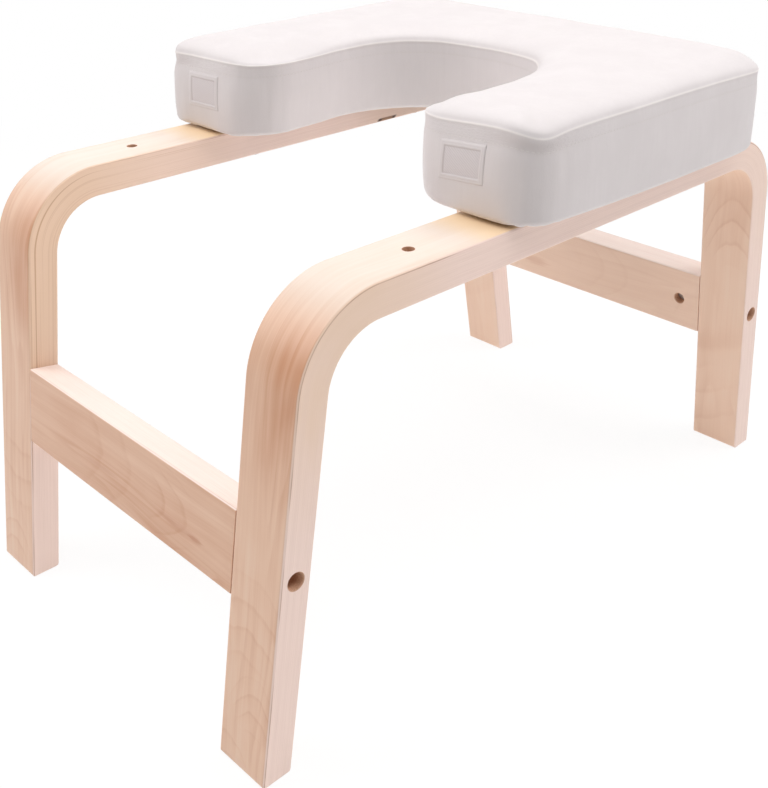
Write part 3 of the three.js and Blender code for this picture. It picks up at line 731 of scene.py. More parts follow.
# Bores: distance from the face and radius at each step
BOLT_BORE = [(-1, 8.2), (0, 7.2), (0.35, 6.75), (0.8, 6.5), (24, 6.5), (24, 3.3), (52, 3.3)]
DOWEL_BORE = [(-1, 5.8), (0.5, 4.3), (16, 4.3)]
SEAT_BORE = [(-1, 5.2), (0, 4.4), (0.2, 4.3), (0.4, 4.25), (24.25, 4.25), (25, 5.0), (26, 6)]
NUT_BORE = [(-1, 7.0), (0, 6.0), (0.3, 5.55), (0.7, 5.3), (18.8, 5.3)]
RAIL_BOLT_BORE = [(0, 3.3), (30.3, 3.3)]
RAIL_DOWEL_BORE = [(0, 4.3), (17, 4.3)]
# The spare hole lies this far behind the front end of the top run; cuts overrun an end face by OVERRUN
SPARE_HOLE = 48.0
OVERRUN = 1.0
SHARP_ANGLE = 32


class STOOL_OT_side_frames(bpy.types.Operator):
    """Makes the two bent plywood side frames with their bolt, dowel and seat holes"""
    bl_idname = "stool.side_frames"
    bl_label = "Side frames"
    bl_options = {"REGISTER", "UNDO"}

    def execute(self, context):
        plan = strip_plan()
        points, quads, caps = bent_strip(plan)
        holes = bpy.data.materials.get("bored_birch") or bore_material()
        for side, name, seed, flames in ((1, "right", 4.0, RIGHT_FLAMES), (-1, "left", 23.0, LEFT_FLAMES)):
            node = name + "_side_frame"
            middle = node_middle(node)[0]
            wood = birch_material(name + "_frame_birch", seed, plan["half_width"], flames=flames,
                                  bent=True, sliver=SLIVER if side < 0 else None)
            obj = make_object(name + "_bent_strip", points + np.array([middle, 0, 0]), quads, wood,
                              more=caps)
            face_outwards(obj.data)
            bore(obj, self.holes(name, side, middle, plan), holes)
            store(obj.data, "strip", strip_coordinates(vertex_array(obj.data), plan, middle))
            shade(obj.data, SHARP_ANGLE)
            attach(obj, "root")
            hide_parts(node)
        return {"FINISHED"}

    @staticmethod
    def holes(name, side, middle, plan):
        """Stepped bores for the frame bolts, blind holes for the dowels, plain ones for the seat bolts."""
        shapes = []
        outer, inner = middle + side * plan["half_width"], middle - side * plan["half_width"]
        for place in ("front", "rear"):
            _, y, z = node_middle(f"frame_bolt_{place}_{name}")
            shapes.append(((outer, y, z), (-side, 0, 0), BOLT_BORE))
            for level in ("lower", "upper"):
                _, y, z = node_middle(f"dowel_{place}_{name}_{level}")
                shapes.append(((inner, y, z), (side, 0, 0), DOWEL_BORE))
        rows = [node_middle(f"seat_bolt_{place}_{name}")[1] for place in ("front", "rear")]
        for y in rows + [SPARE_HOLE - plan["bend_y"]]:
            shapes.append(((middle, y, STRIP_HIGH[2]), (0, 0, -1), SEAT_BORE))
        return shapes


# The cross rails: seed, tone and lift of the wood, where lift pales the faces as painted fill light in the
# cushion's shade, its dark marks (place, length, width and strength) and its arcs of growth rings
RAILS = {
    "front": dict(end=-1, seed=41.0, tone=0.2, lift=0.0,
                  knots=[((76, -6.8, 12.5), 22.0, 3.6, 0.3), ((95, -7.6, 12.5), 9.0, 2.4, 0.6),
                         ((60, -5.6, 12.5), 12.0, 2.2, 0.25), ((-30, -8, 12.5), 26.0, 3.0, 0.3)],
                  flames=[((64, -2, 12), 26.0, 0.05, 34.0, 0.14), ((-20, 4, 12), 40.0, 0.02, 50.0, 0.1)]),
    "rear": dict(end=1, seed=58.0, tone=0.08, lift=0.5, knots=[((-70, -10, -12.5), 18.0, 4.0, 0.25)],
                 flames=[((30, 4, -12), 30.0, 0.03, 50.0, 0.12)]),
}


class STOOL_OT_cross_rails(bpy.types.Operator):
    """Makes the two cross rails with the holes for their barrel nuts, bolts and dowels"""
    bl_idname = "stool.cross_rails"
    bl_label = "Cross rails"
    bl_options = {"REGISTER", "UNDO"}

    def execute(self, context):
        sizes = context.scene.stool_frame
        half_height, half = sizes.rail_height / MM / 2, sizes.strip_thickness / MM / 2
        edge, lean = sizes.edge_round / MM, sizes.leg_lean
        holes = bpy.data.materials.get("bored_birch") or bore_material()
        for place, wood in RAILS.items():
            end = wood["end"]
            middle_y, middle_z = node_middle(place + "_cross_rail")[1:]
            reach = node_box(place + "_cross_rail")[1][0]
            # A ring of the rail carried along x, drawn in a little at its end faces
            h, d, _ = eased_ring(half_height, half, edge)
            eased = reach - np.array([0, 0.4, 1])
            inner = np.linspace(RAIL_MARGIN - reach, reach - RAIL_MARGIN, RAIL_ROWS)
            x = np.concatenate([-eased, inner, eased[::-1]])[:, None]
            share = np.ones_like(x)
            share[[0, -1]] = RAIL_END_SHARE
            up = share * h * math.cos(lean)
            y = middle_y + end * (share * d * math.cos(lean) - h * share * math.sin(lean))
            z = middle_z + up + share * d * math.sin(lean)
            grid = np.stack([x + 0 * h, y, z], -1)
            birch = birch_material(place + "_rail_birch", wood["seed"], half_height, wood["flames"],
                                   wood["knots"], tone=wood["tone"], lift=wood["lift"])
            obj = make_object(place + "_rail", grid.reshape(-1, 3), band_quads(len(x), len(h)), birch,
                              more=[end_caps(len(h), len(x))])
            face_outwards(obj.data)
            bore(obj, self.holes(place, end, reach, lean, half), holes)
            points = vertex_array(obj.data)
            dy, dz = end * (points[:, 1] - middle_y), points[:, 2] - middle_z
            high_up = dz * math.cos(lean) - dy * math.sin(lean)
            outward = dy * math.cos(lean) + dz * math.sin(lean)
            store(obj.data, "strip", np.stack([points[:, 0], high_up, outward], -1))
            shade(obj.data, SHARP_ANGLE)
            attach(obj, "root")
            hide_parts(place + "_cross_rail")
        return {"FINISHED"}

    @staticmethod
    def holes(place, end, reach, lean, half):
        """Holes for the barrel nuts from the inner face, and for the bolts and dowels from the ends."""
        shapes = []
        inward = np.array([0, -end * math.cos(lean), -math.sin(lean)])
        for name, side in (("left", -1), ("right", 1)):
            nut = node_middle(f"barrel_nut_{place}_{name}")
            shapes.append((nut + inward * half, -inward, NUT_BORE))
            dowels = [node_middle(f"dowel_{place}_{name}_{level}") for level in ("lower", "upper")]
            for (_, y, z), profile in ((nut, RAIL_BOLT_BORE), *((at, RAIL_DOWEL_BORE) for at in dowels)):
                shapes.append(((side * (reach + OVERRUN), y, z), (-side, 0, 0), profile))
        return shapes


# The cushion

# In millimetres: radii of the corners and of the cut-out, how far the foot of each side stands out and its
# belly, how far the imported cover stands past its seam, the lower roll, where the hem starts, its width and
# its fold, and the crown's reach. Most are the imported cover's own. The least radius, the bellies, the roll
# and the crown's curve differ from it.
CUSHION = dict(rear_corner=32.0, front_corner=24.0, mouth_corner=36.0, least=10.0, neck_radius=93.5,
               neck_depth=105.0, mouth_lean=math.radians(9.4), flare=5.0, belly=2.2, neck_flare=3.0,
               neck_belly=1.6, stand_out=6.0, roll=5.5, hem_start=8.0, hem=26.0, fold=14.04,
               fold_rise=3.0, reach=44.73, shoulder=3.4, shoulder_ease=1.7, power=2.5)
# Points along half of the outline: rear, rear corner, side, front corner, front, mouth corner, mouth
# side and neck. The first three and half the fourth match the last two and half the sixth.
PARTS = np.array([22, 7, 34, 6, 8, 20, 14, 42])
RUNGS, SPAN = 66, 21
# Frames that the cloth simulation runs
LAST_FRAME = 20


# Distances from the seam of the cover's rows: down its side, and over the crown before its reach
BELOW_SEAM = [50, 46.5, 43, 39, 35, 31, 27, 23.5, 20, 17.5, 15, 13, 11.6, 10.6, 10.0, 9.6, 9.3, 9.1, 8.9, 8.6,
              8.2, 7.6, 6.8, 5.8, 4.8, 3.9, 3.2, 2.7, 2.3, 1.9, 1.5, 1.1, 0.7, 0.35, 0]
ABOVE_SEAM = [0.25, 0.5, 0.75, 1.0, 1.3, 1.7, 2.2, 2.9, 3.8, 5, 6.5, 8.5, 11, 14, 17.5, 21.5, 26, 30.5, 35,
              40]
COARSE_BELOW_SEAM = [50, 43.5, 37, 30.5, 24, 18, 12, 8, 4, 0]
COARSE_ABOVE_SEAM = [3.5, 8, 14, 21, 28, 36]


def cushion_plan():
    """The cushion's numbers, in millimetres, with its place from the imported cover."""
    sizes = bpy.context.scene.stool_cushion
    plan = dict(CUSHION)
    proud = plan["stand_out"]
    plan.update(side=COVER_HIGH[0] - proud, front=COVER_LOW[1] + proud, rear=COVER_HIGH[1] - proud,
                bottom=COVER_LOW[2], ridge=COVER_LOW[2] + sizes.ridge_height / MM,
                crown=sizes.crown_rise / MM)
    plan["neck_y"] = plan["front"] + plan["neck_depth"]
    plan["sole"] = plan["bottom"] + plan["fold_rise"]
    plan["hem_out"] = plan["hem"] + plan["hem_start"] - plan["flare"]
    plan["hem_neck"] = plan["hem"] + plan["hem_start"] + plan["neck_flare"]
    return plan


def horseshoe(plan, out, neck, fine):
    """Outlines of the horseshoe, one row for each pair of insets.

    Half of it runs from the middle of the rear over the corner, the side, the front of the arm and the
    mouth to the middle of the cut-out, as straight lines and arcs; the other half mirrors it.
    """
    out, neck = np.atleast_1d(out).astype(float)[:, None], np.atleast_1d(neck).astype(float)[:, None]
    counts = PARTS * fine
    rear = np.maximum(plan["rear_corner"] - out, plan["least"])
    front = np.maximum(plan["front_corner"] - out, plan["least"])
    mouth = np.maximum(plan["mouth_corner"] - (out + neck) / 2, plan["least"])
    lean = plan["mouth_lean"]
    side, fore, back = plan["side"] - out, plan["front"] + out, plan["rear"] - out
    mouth_y = fore + mouth
    reach = plan["neck_radius"] + neck + mouth
    mouth_x = (reach + (mouth_y - plan["neck_y"]) * math.sin(lean)) / math.cos(lean)

    def arc(x, y, radius, start, end, count):
        angle = np.linspace(start, end, count + 1)[None, :]
        return np.stack([x + radius * np.cos(angle), y + radius * np.sin(angle)], -1)

    def line(first, last, count):
        share = np.linspace(0, 1, count + 1)[None, :, None]
        return first[:, None] * (1 - share) + last[:, None] * share

    corner = arc(side - rear, back - rear, rear, np.pi / 2, 0, counts[1])
    toe = arc(side - front, fore + front, front, 0, -np.pi / 2, counts[3])
    lip = arc(mouth_x, mouth_y, mouth, -np.pi / 2, -np.pi - lean, counts[5])
    bay = arc(0 * mouth_x, plan["neck_y"] + 0 * mouth_x, plan["neck_radius"] + neck, -lean, np.pi / 2,
              counts[7])
    start = np.concatenate([0 * back, back], -1)
    legs = [line(start, corner[:, 0], counts[0]), corner, line(corner[:, -1], toe[:, 0], counts[2]), toe,
            line(toe[:, -1], lip[:, 0], counts[4]), lip, line(lip[:, -1], bay[:, 0], counts[6])]
    half = np.concatenate([leg[:, :-1] for leg in legs] + [bay], axis=1)
    mirrored = half[:, -2:0:-1] * np.array([-1, 1])
    return np.concatenate([half, mirrored], axis=1)


def cushion_section(plan, fine):
    """Rows of the cover from the inside of the hem, under the fold, round the lower roll, up the side
    to the seam and over the crown: two insets, a height, and the distance along from the seam.

    The side's foot stands out and its middle bellies as a parabola. The crown rises from the seam in a
    short shoulder, 1 - exp(-w / ease), and then as 1 - (1 - t) to a power, where t is the share w / reach.
    """
    hem_out, hem_neck = plan["hem_out"], plan["hem_neck"]
    low, sole, fold = plan["bottom"], plan["sole"], plan["fold"]
    under = [(0, sole + 1.1), (0, low + 0.7), (0.25, low + 0.15), (0.8, low), (fold * 0.5, low),
             (fold - 1.0, low), (fold - 0.3, low + 0.25), (fold, low + 0.9), (fold + 0.3, sole - 0.7),
             (fold + 1.1, sole), (fold + 6, sole)]
    if fine == 1:
        under = [under[k] for k in (0, 3, 5, 9)]
    rows = [(hem_out - a, hem_neck - a, z) for a, z in under]
    for angle in np.linspace(0, np.pi / 2, 12 if fine > 1 else 4)[:-1]:
        drop = plan["roll"] * (1 - math.sin(angle))
        rows.append((drop - plan["flare"], drop + plan["neck_flare"],
                     sole + plan["roll"] * (1 - math.cos(angle))))
    foot = sole + plan["roll"]
    tall = plan["ridge"] - foot
    below, above = (BELOW_SEAM, ABOVE_SEAM) if fine > 1 else (COARSE_BELOW_SEAM, COARSE_ABOVE_SEAM)
    for w in below:
        t = max(1 - w / tall, 0.0)
        rows.append((-plan["flare"] * (1 - t) - 4 * plan["belly"] * t * (1 - t),
                     plan["neck_flare"] * (1 - t) - 4 * plan["neck_belly"] * t * (1 - t), foot + tall * t))
    seam = len(rows) - 1
    for w in (*above, plan["reach"]):
        shoulder = plan["shoulder"] * (1 - math.exp(-w / plan["shoulder_ease"]))
        slow = (plan["crown"] - plan["shoulder"]) * (1 - (1 - w / plan["reach"]) ** plan["power"])
        rows.append((w, w, plan["ridge"] + shoulder + slow))
    rows = np.array(rows)
    steps = np.concatenate([[0], np.cumsum(np.hypot(np.diff(rows[:, 0]), np.diff(rows[:, 2])))])
    return rows, steps - steps[seam], seam


# How the seam rises and falls round the cushion: place on the outline, positive on the right half, and
# millimetres above its plain height
SEAM_RISE = [(-153, -0.9), (-148, -0.7), (-143, 0.2), (-138, 1.6), (-130, 2.2), (-124, 1.8), (-116, 0.5),
             (-106, 0.5), (-96, 1.1), (-88, 0.6), (-84, 0.3), (-78, 1.0), (-72, 0.1), (-68, -0.2),
             (-65.5, -1.4), (-62, -0.6), (-50, 0.8), (-36, 1.2), (-26, 0.6), (-12, 1.2), (0, 0.9), (12, 1.2),
             (22, 0.9), (27, 0.5), (31, 0.9), (36, 1.7), (43, 2.0), (50, 1.6), (57, 1.8), (61, 1.4),
             (62.6, 0.2), (64, -1.0), (65.2, -0.6), (66.3, 1.2), (67.6, 3.6), (69, 4.4), (71, 4.0),
             (73, 3.0), (75, 1.8), (77, 0.8), (80, 0.8), (84, 0.0), (90, -1.2), (96, -1.8), (101, -1.0),
             (107, 0.4), (112, 1.3), (120, 2.0), (130, 2.3), (137, 2.0), (143, 0.2), (148, -0.7), (153, -0.9)]

# How far the foot hangs below its plain height, the same on both halves
FOOT_HANG = [(0, 2.0), (20, 2.2), (25, 3.0), (29, 4.8), (36, 4.4), (43, 4.5), (50, 3.9), (56, 2.8), (61, 1.5),
             (66, 1.2), (77, 1.0), (80, 0.6), (84, -0.6), (92, -1.2), (100, -1.0), (108, 0.0), (153, 0.0)]
# How much fuller than plain the crown is near its edge
CROWN_FULLNESS = [(-153, 0.0), (-120, 0.0), (-112, -1.0), (-106, -2.2), (-98, -3.6), (-90, -4.2), (-84, -3.2),
                  (-78, -1.0), (-74, 0.2), (-66, 1.5), (-62, 2.0), (-50, 3.2), (-36, 3.8), (-29, 4.4),
                  (-22, 4.8), (0, 4.8), (19, 4.8), (22, 2.0), (25, -1.5), (28, -1.5), (31, 0.0), (76, 0.0),
                  (80, -1.5), (85, -3.8), (90, -4.8), (98, -4.4), (106, -3.4), (112, -2.6), (118, -1.2),
                  (124, -0.8), (130, 0.0), (153, 0.0)]


def settled(plan, grid, rows, seam, fine):
    """The plain form as the real cover lies: each corner has its own fullness, the foot of the outer
    sides hangs a little below the board, and the seam rises and falls.

    All are smooth bumps along the outline times a share of the height, t from 0 at the foot to 1 at the
    seam, which fades out over the crown and under the hem.
    """
    count = grid.shape[1]
    ring = grid[seam, :, :2]
    ahead = np.roll(ring, -1, axis=0) - np.roll(ring, 1, axis=0)
    ways = np.stack([-ahead[:, 1], ahead[:, 0]], -1)
    ways /= np.linalg.norm(ways, axis=1, keepdims=True)
    steps = np.linalg.norm(np.diff(ring, axis=0, append=ring[:1]), axis=1)
    around, whole = np.concatenate([[0], np.cumsum(steps)[:-1]]), steps.sum()
    index = np.arange(count)
    half = count // 2
    place = np.where(index <= half, index, index - count) / fine
    ends = np.concatenate([[0], np.cumsum(PARTS)])

    def bump(part, side, spread):
        """A hill at the middle of a part of one half, by distance along the outline."""
        middle = int(round((ends[part] + ends[part + 1]) / 2 * fine))
        away = np.abs(around - around[middle if side > 0 else count - middle])
        return hill(np.minimum(away, whole - away), 0, spread)

    foot = plan["sole"] + plan["roll"]
    t = np.clip((rows[:, 2] - foot) / (plan["ridge"] - foot), 0, 1)[:, None]
    bulge = 4 * t * (1 - t)
    numbers = np.arange(len(rows))
    under = (numbers < np.flatnonzero(rows[:seam, 2] <= plan["sole"] + 0.01)[-1])[:, None]
    inward = (rows[:, 0] + plan["flare"])[:, None]
    crown = (numbers > seam)[:, None]
    hold = np.where(crown, 1 - step(rows[:, 0][:, None], 0, 40), np.where(under, 1 - step(inward, 5, 20), 1))

    out = np.zeros((len(rows), count))
    for side in (1, -1):
        out -= bump(1, side, 21) * ((plan["flare"] - 1.9) * (1 - t) + plan["belly"] * bulge + 0.3 * t)
        out -= bump(5, side, 19) * (1.7 * t + 2.2 * (1 - t) + 1.1 * bulge)
    out -= bump(3, 1, 15) * ((plan["flare"] - 2.6) * (1 - t) + plan["belly"] * bulge)
    out += bump(3, -1, 11) * (5.9 * t + 4.4 * (1 - t) - 0.7 * plan["belly"] * bulge)
    grid = grid.copy()
    grid[..., :2] += (out * hold)[..., None] * ways[None]

    def around_it(pairs, spread=1):
        """A value for each place of the outline, read from pairs and smoothed."""
        values = np.interp(place, *np.array(pairs).T)
        spread *= fine
        return sum(np.roll(values, k) for k in range(-spread, spread + 1)) / (2 * spread + 1)

    inset = rows[:, 0][:, None]
    low = np.where(under, 1 - step(inward, 7.5, 12.5), 1 - step(t, 0, 0.42)) * ~crown
    hang = around_it([(-p, v) for p, v in reversed(FOOT_HANG)] + FOOT_HANG[1:])[None]
    carried = 1 - step(np.abs(grid[..., 0]), 188.5, 193)
    grid[..., 2] -= low * np.minimum(hang, 2.6 + 9 * (1 - carried))

    share = np.where(crown, 1 - step(inset, 0, 34), t ** 1.3 * ~under)
    grid[..., 2] += share * around_it(SEAM_RISE)[None]
    near = 1 - step(inset, 1, 22)
    fuller = near * around_it(CROWN_FULLNESS) + (1 - near) * around_it(CROWN_FULLNESS, 14)
    fuller = fuller * (1 - np.exp(-inset / 2.6)) * (0.33 + 0.67 * (1 - step(inset, 8, 40)))
    grid[..., 2] += np.where(crown, fuller, 0)
    return grid


def rung_numbers(fine, count, first):
    """Numbers of the points of a patch that spans a ring of points from its outer to its inner side.

    first is the number of the first new point. Both halves share the rung in the middle of the rear.
    """
    rungs, span = RUNGS * fine, SPAN * fine
    half = 2 * rungs + span
    i, j = np.meshgrid(np.arange(rungs + 1), np.arange(span + 1), indexing="ij")
    right = first + i * (span - 1) + j - 1
    right = np.where(j == 0, i, np.where(j == span, half - i, np.where(i == rungs, rungs + j, right)))
    left = first + rungs * (span - 1) + (i - 1) * (span - 1) + j - 1
    ring = np.where(j == 0, i, np.where(j == span, half - i, rungs + j))
    left = np.where((j == 0) | (j == span) | (i == rungs), (count - ring) % count, left)
    left = np.where((i == 0) & (j > 0) & (j < span), right, left)
    return right, left, (rungs + (rungs - 1)) * (span - 1)


def rung_points(ring, fine):
    """Points of that patch: straight rungs, drawn to the end's curve over the last of them as u ** 9."""
    rungs, span = RUNGS * fine, SPAN * fine
    half = 2 * rungs + span
    outer, inner = ring[:rungs + 1], ring[half:half - rungs - 1:-1]
    end = ring[rungs:rungs + span + 1]
    u, v = np.linspace(0, 1, rungs + 1)[:, None, None], np.linspace(0, 1, span + 1)[None, :, None]
    grid = outer[:, None] * (1 - v) + inner[:, None] * v
    return grid + u ** 9 * (end - grid[-1])[None]


def spanned(ring, start, first, fine, below):
    """The patch that closes a ring of the horseshoe: its new points, its faces and both halves' numbers.

    start is the number of the ring's first point and first that of the first new one.
    """
    right, left, more = rung_numbers(fine, len(ring), first)
    mirror = np.array([-1, 1, 1])
    new = np.zeros((more, 3))
    inner = right >= first
    new[right[inner] - first] = rung_points(ring, fine)[inner]
    inner = (left >= first) & (np.arange(len(left))[:, None] > 0)
    other = np.roll(ring[::-1], 1, axis=0) * mirror
    new[left[inner] - first] = (rung_points(other, fine) * mirror)[inner]
    faces = []
    for numbers in (right, left):
        numbers[numbers < first] += start
        a, b, c, d = numbers[:-1, :-1], numbers[1:, :-1], numbers[1:, 1:], numbers[:-1, 1:]
        if below == (numbers is right):
            a, c = c, a
        faces.append(np.stack([a, d, c, b], -1).reshape(-1, 4))
    return new, faces, (right, left)


def closed_cover(plan, fine):
    """The cover as one closed form: rows of outlines with a patch across the crown and one below.

    Returns points, faces, rows with their distances, and the two patches' point numbers.
    """
    rows, apart, seam = cushion_section(plan, fine)
    rings = horseshoe(plan, rows[:, 0], rows[:, 1], fine)
    count = rings.shape[1]
    z = np.broadcast_to(rows[:, 2][:, None, None], rings.shape[:2] + (1,))
    grid = settled(plan, np.concatenate([rings, z], -1), rows, seam, fine)
    points = [grid.reshape(-1, 3)]
    faces = [band_quads(len(rows), count)[:, ::-1]]
    patches = []
    for row in (0, len(rows) - 1):
        new, quads, numbers = spanned(grid[row], row * count, sum(map(len, points)), fine, row == 0)
        points.append(new)
        faces += quads
        patches.append(numbers)
    return np.concatenate(points), np.concatenate(faces), (rows, apart, seam, count), patches


def cubic_shares(places, count, closed):
    """Shares of count values at places between them: Catmull-Rom curves as one matrix."""
    places = np.asarray(places, float)
    base = np.floor(places).astype(int)
    if not closed:
        base = np.clip(base, 0, count - 2)
    t = places - base
    weights = [-0.5 * t + t ** 2 - 0.5 * t ** 3, 1 - 2.5 * t ** 2 + 1.5 * t ** 3,
               0.5 * t + 2 * t ** 2 - 1.5 * t ** 3, -0.5 * t ** 2 + 0.5 * t ** 3]
    shares = np.zeros((len(places), count))
    for k, weight in enumerate(weights):
        index = (base + k - 1) % count if closed else np.clip(base + k - 1, 0, count - 1)
        np.add.at(shares, (np.arange(len(places)), index), weight)
    return shares


def swollen_cover(plan, pressure):
    """Runs the cover as cloth under pressure and returns how far it moves, on a finer copy's points.

    The underside is held, the seam half held, and all that is free is drawn a little tight. Of the
    movement along the normal, the mean of each row is taken off and a share is used, because the
    section already has the swell that the photograph shows.
    """
    points, faces, (rows, apart, seam, count), patches = closed_cover(plan, 1)
    trial = make_object("cover_trial", points, faces)
    held = trial.vertex_groups.new(name="held")
    tight = trial.vertex_groups.new(name="tight")
    sole = int(np.argmax(rows[:, 2] > plan["sole"] + 2.5))
    under = [np.arange(sole * count)] + [part[:, 1:-1].ravel() for part in patches[0]]
    held.add(np.concatenate(under).tolist(), 1.0, "REPLACE")
    held.add((seam * count + np.arange(count)).tolist(), 0.35, "REPLACE")
    tight.add(np.arange(sole * count, len(points)).tolist(), 1.0, "REPLACE")
    cloth = trial.modifiers.new("cloth", "CLOTH")
    settings = cloth.settings
    settings.quality, settings.mass = 6, 0.25
    settings.tension_stiffness = settings.compression_stiffness = 22
    settings.shear_stiffness, settings.bending_stiffness = 8, 10
    settings.vertex_group_mass, settings.pin_stiffness = "held", 1.0
    settings.use_pressure, settings.uniform_pressure_force = True, pressure
    settings.vertex_group_shrink, settings.shrink_min, settings.shrink_max = "tight", 0.0, 0.02
    settings.effector_weights.gravity = 0
    cloth.collision_settings.use_collision = False
    cloth.point_cache.frame_start, cloth.point_cache.frame_end = 1, LAST_FRAME
    scene = bpy.context.scene
    for number in range(1, LAST_FRAME + 1):
        scene.frame_set(number)
    apply_modifiers(trial)
    moved = vertex_array(trial.data) - points
    scene.frame_set(1)
    remove_with_mesh(trial)

    normals = vertex_normals(points, faces)
    along = (moved * normals).sum(1)
    ring = along[:len(rows) * count].reshape(len(rows), count)
    mean = ring.mean(1)
    ring = ring - mean[:, None]
    crown = [along[numbers] - mean[-1] for numbers in patches[1]]

    fine_apart = cushion_section(plan, 2)[1]
    down = cubic_shares(np.interp(fine_apart, apart, np.arange(len(rows))), len(rows), False)
    round_it = cubic_shares(np.arange(2 * count) / 2, count, True)
    fine_ring = down @ ring @ round_it.T
    i = cubic_shares(np.arange(2 * RUNGS + 1) / 2, RUNGS + 1, False)
    j = cubic_shares(np.arange(2 * SPAN + 1) / 2, SPAN + 1, False)
    return fine_ring, [i @ part @ j.T for part in crown]


def cushion_surface():
    """The finished cover: points, faces, each row's distance from the seam, the points in a row, the painted
    shade in its seams and at the toe (below zero a painted highlight on the seam's ridge), and where it is
    crinkled.

    Each point moves along its normal by a sum of bells, steps and waves of s, the distance from the seam,
    and u, the distance round the cushion.
    """
    sizes = bpy.context.scene.stool_cushion
    plan = cushion_plan()
    points, faces, (rows, s, seam, count), patches = closed_cover(plan, 2)
    normals = vertex_normals(points, faces)
    size = len(rows) * count
    ring = points[seam * count:(seam + 1) * count]
    around = np.concatenate([[0], np.cumsum(np.linalg.norm(np.diff(ring, axis=0), axis=1))])
    whole = around[-1] + np.linalg.norm(ring[0] - ring[-1])
    ends = np.concatenate([[0], np.cumsum(PARTS * 2)])
    index = np.arange(count)
    index = np.minimum(index, count - index)

    def each(values):
        """A value for each row, given to all the points of it."""
        return np.repeat(values, count)

    def all_rows(values):
        """A value for each place round the cushion, given to that place in each row."""
        return np.tile(values, len(rows))

    def corner(part, spread):
        return hill(index, (ends[part] + ends[part + 1]) / 2, spread)

    def ripples(wave, seed, tilt=0.0, waves=14):
        """Waves of random lengths round the cushion, about -1 to 1."""
        rng = np.random.default_rng(seed)
        total = np.zeros(size)
        for _ in range(waves):
            turns = max(1, round(whole / (wave * rng.uniform(0.6, 1.6))))
            total += np.cos(2 * np.pi * turns * u / whole + tilt * each(s) * rng.uniform(-1, 1)
                            + rng.uniform(0, 7))
        return total / math.sqrt(waves / 2) / 1.5

    u = all_rows(around)
    toe = all_rows(corner(3, 6.5))
    bends = all_rows(np.maximum.reduce([corner(3, 6.5), 0.45 * corner(1, 8), 0.3 * corner(5, 14)]))

    swell = np.zeros(len(points))
    by_row, crown = swollen_cover(plan, sizes.pressure)
    swell[:size] = by_row.ravel()
    for part, numbers in zip(crown, patches[1]):
        swell[numbers] = part
    free = np.ones(len(points))
    free[:size] = each(step(rows[:, 2], plan["sole"] + 1, plan["sole"] + 12))
    out = free * (0.8 * np.tanh(0.15 * swell))
    band, top = out[:size], out[size:]

    # Seam: the rounded bead on the edge with a dent above and below it, and the line of the stitches
    valley = hill(s, 2.3, 0.6)
    groove = hill(s, -sizes.stitch_drop / MM, 0.5)
    band += each(0.24 * hill(s, 0.0, 0.5) - 0.06 * valley - 0.06 * hill(s, -1.9, 0.6) - 0.06 * groove)
    band += bends * (-sizes.corner_draw / MM * each(hill(s, -7.0, 4.2)))
    near = each(np.exp(-np.abs(s) / 6.5) * (s < 0) + np.exp(-np.abs(s) / 3.2) * (s >= 0))
    side = each(step(s, -58, -40) * (1 - step(s, -16, -6)))
    hem = each(step(rows[:, 2] - plan["sole"], 4, -0.2) * step(s, -95, -60))
    band += ripples(10.0, 5) * near * (0.10 + 0.26 * bends)
    band += ripples(17.0, 8, 0.04) * side * (0.05 + 0.32 * bends)
    band += ripples(13.0, 12) * hem * (0.04 + 0.3 * bends)
    out += free * (0.28 * soft_noise(points, 74.0, 3) + 0.10 * soft_noise(points, 29.0, 4))
    # What lies on the frame stays flat
    band[each(rows[:, 2] < plan["sole"] - 0.5)] = 0.0
    top[points[size:, 2] < plan["ridge"]] = 0.0

    fold, crinkle = np.zeros(len(points)), np.zeros(len(points))
    # fold: painted shade in the seam's dents and the stitch line, and below zero a painted highlight on the
    # seam's ridge
    fold[:size] = each(0.07 * valley + 0.1 * groove + 0.14 * hill(s, -1.7, 0.6) - 0.9 * hill(s, 0.3, 0.45))
    # Painted shade at the toe corner and a painted shadow in the crescent under its seam
    fold[:size] += toe * each(0.27 * step(s, -1.0, -4.0) + 0.35 * hill(s, -6.0, 2.6))
    mouth = step(index, ends[3], ends[5]) * (1 - step(index, ends[5], ends[6]))
    crinkle[:size] = each(step(s, -15, -8) * (1 - step(s, -1.5, 0.2)))
    crinkle[:size] *= all_rows(0.35 + 0.65 * np.maximum(mouth, corner(3, 12)))
    return points + normals * out[:, None], faces, s, count, fold, crinkle


def cover_material():
    """Soft synthetic leather: fine grain, a slight mottle, painted shade in the seams and at the toe corner,
    and a painted highlight on the seam's ridge.
    """
    base = bpy.context.scene.stool_colours.cover
    material, web = new_material("cover_leather")
    place = web.place()
    grain = web.group("Leather grain", vector=place, cell=1.15)
    fold = web.attribute("fold")
    creases = web.noise(web.vector("MULTIPLY", place, (0.5, 0.5, 1.3)), 0.62, 3.0, 0.62, 0.9)
    streaks = web.noise(web.vector("MULTIPLY", place, (0.30, 0.30, 0.02)), 1.0, 2.0, 0.6)
    tone = web.mix(web.range(grain["Mottle"], 0.35, 0.65), base, scaled(base, 0.975))
    tone = web.mix(web.range(streaks, 0.3, 0.7, 0.0, 0.5), tone, scaled(base, 0.96))
    # Painted shade where fold is above zero, and a painted highlight where it is below zero
    tone = web.mix(web.math("MULTIPLY", fold, 0.55, clamp=True), tone, (0.50, 0.43, 0.415))
    tone = web.mix(web.math("MULTIPLY", fold, -0.95, clamp=True), tone, (0.95, 0.915, 0.89))
    fine = web.bump(0.3, 0.00016, grain["Height"])
    web.surface(base_color=tone, roughness=web.range(grain["Mottle"], 0.3, 0.7, 0.44, 0.56),
                specular_ior_level=0.42, sheen_weight=0.06, sheen_roughness=0.5,
                normal=web.bump(web.attribute("crinkle") * 0.75, 0.0007, creases, Normal=fine))
    return material


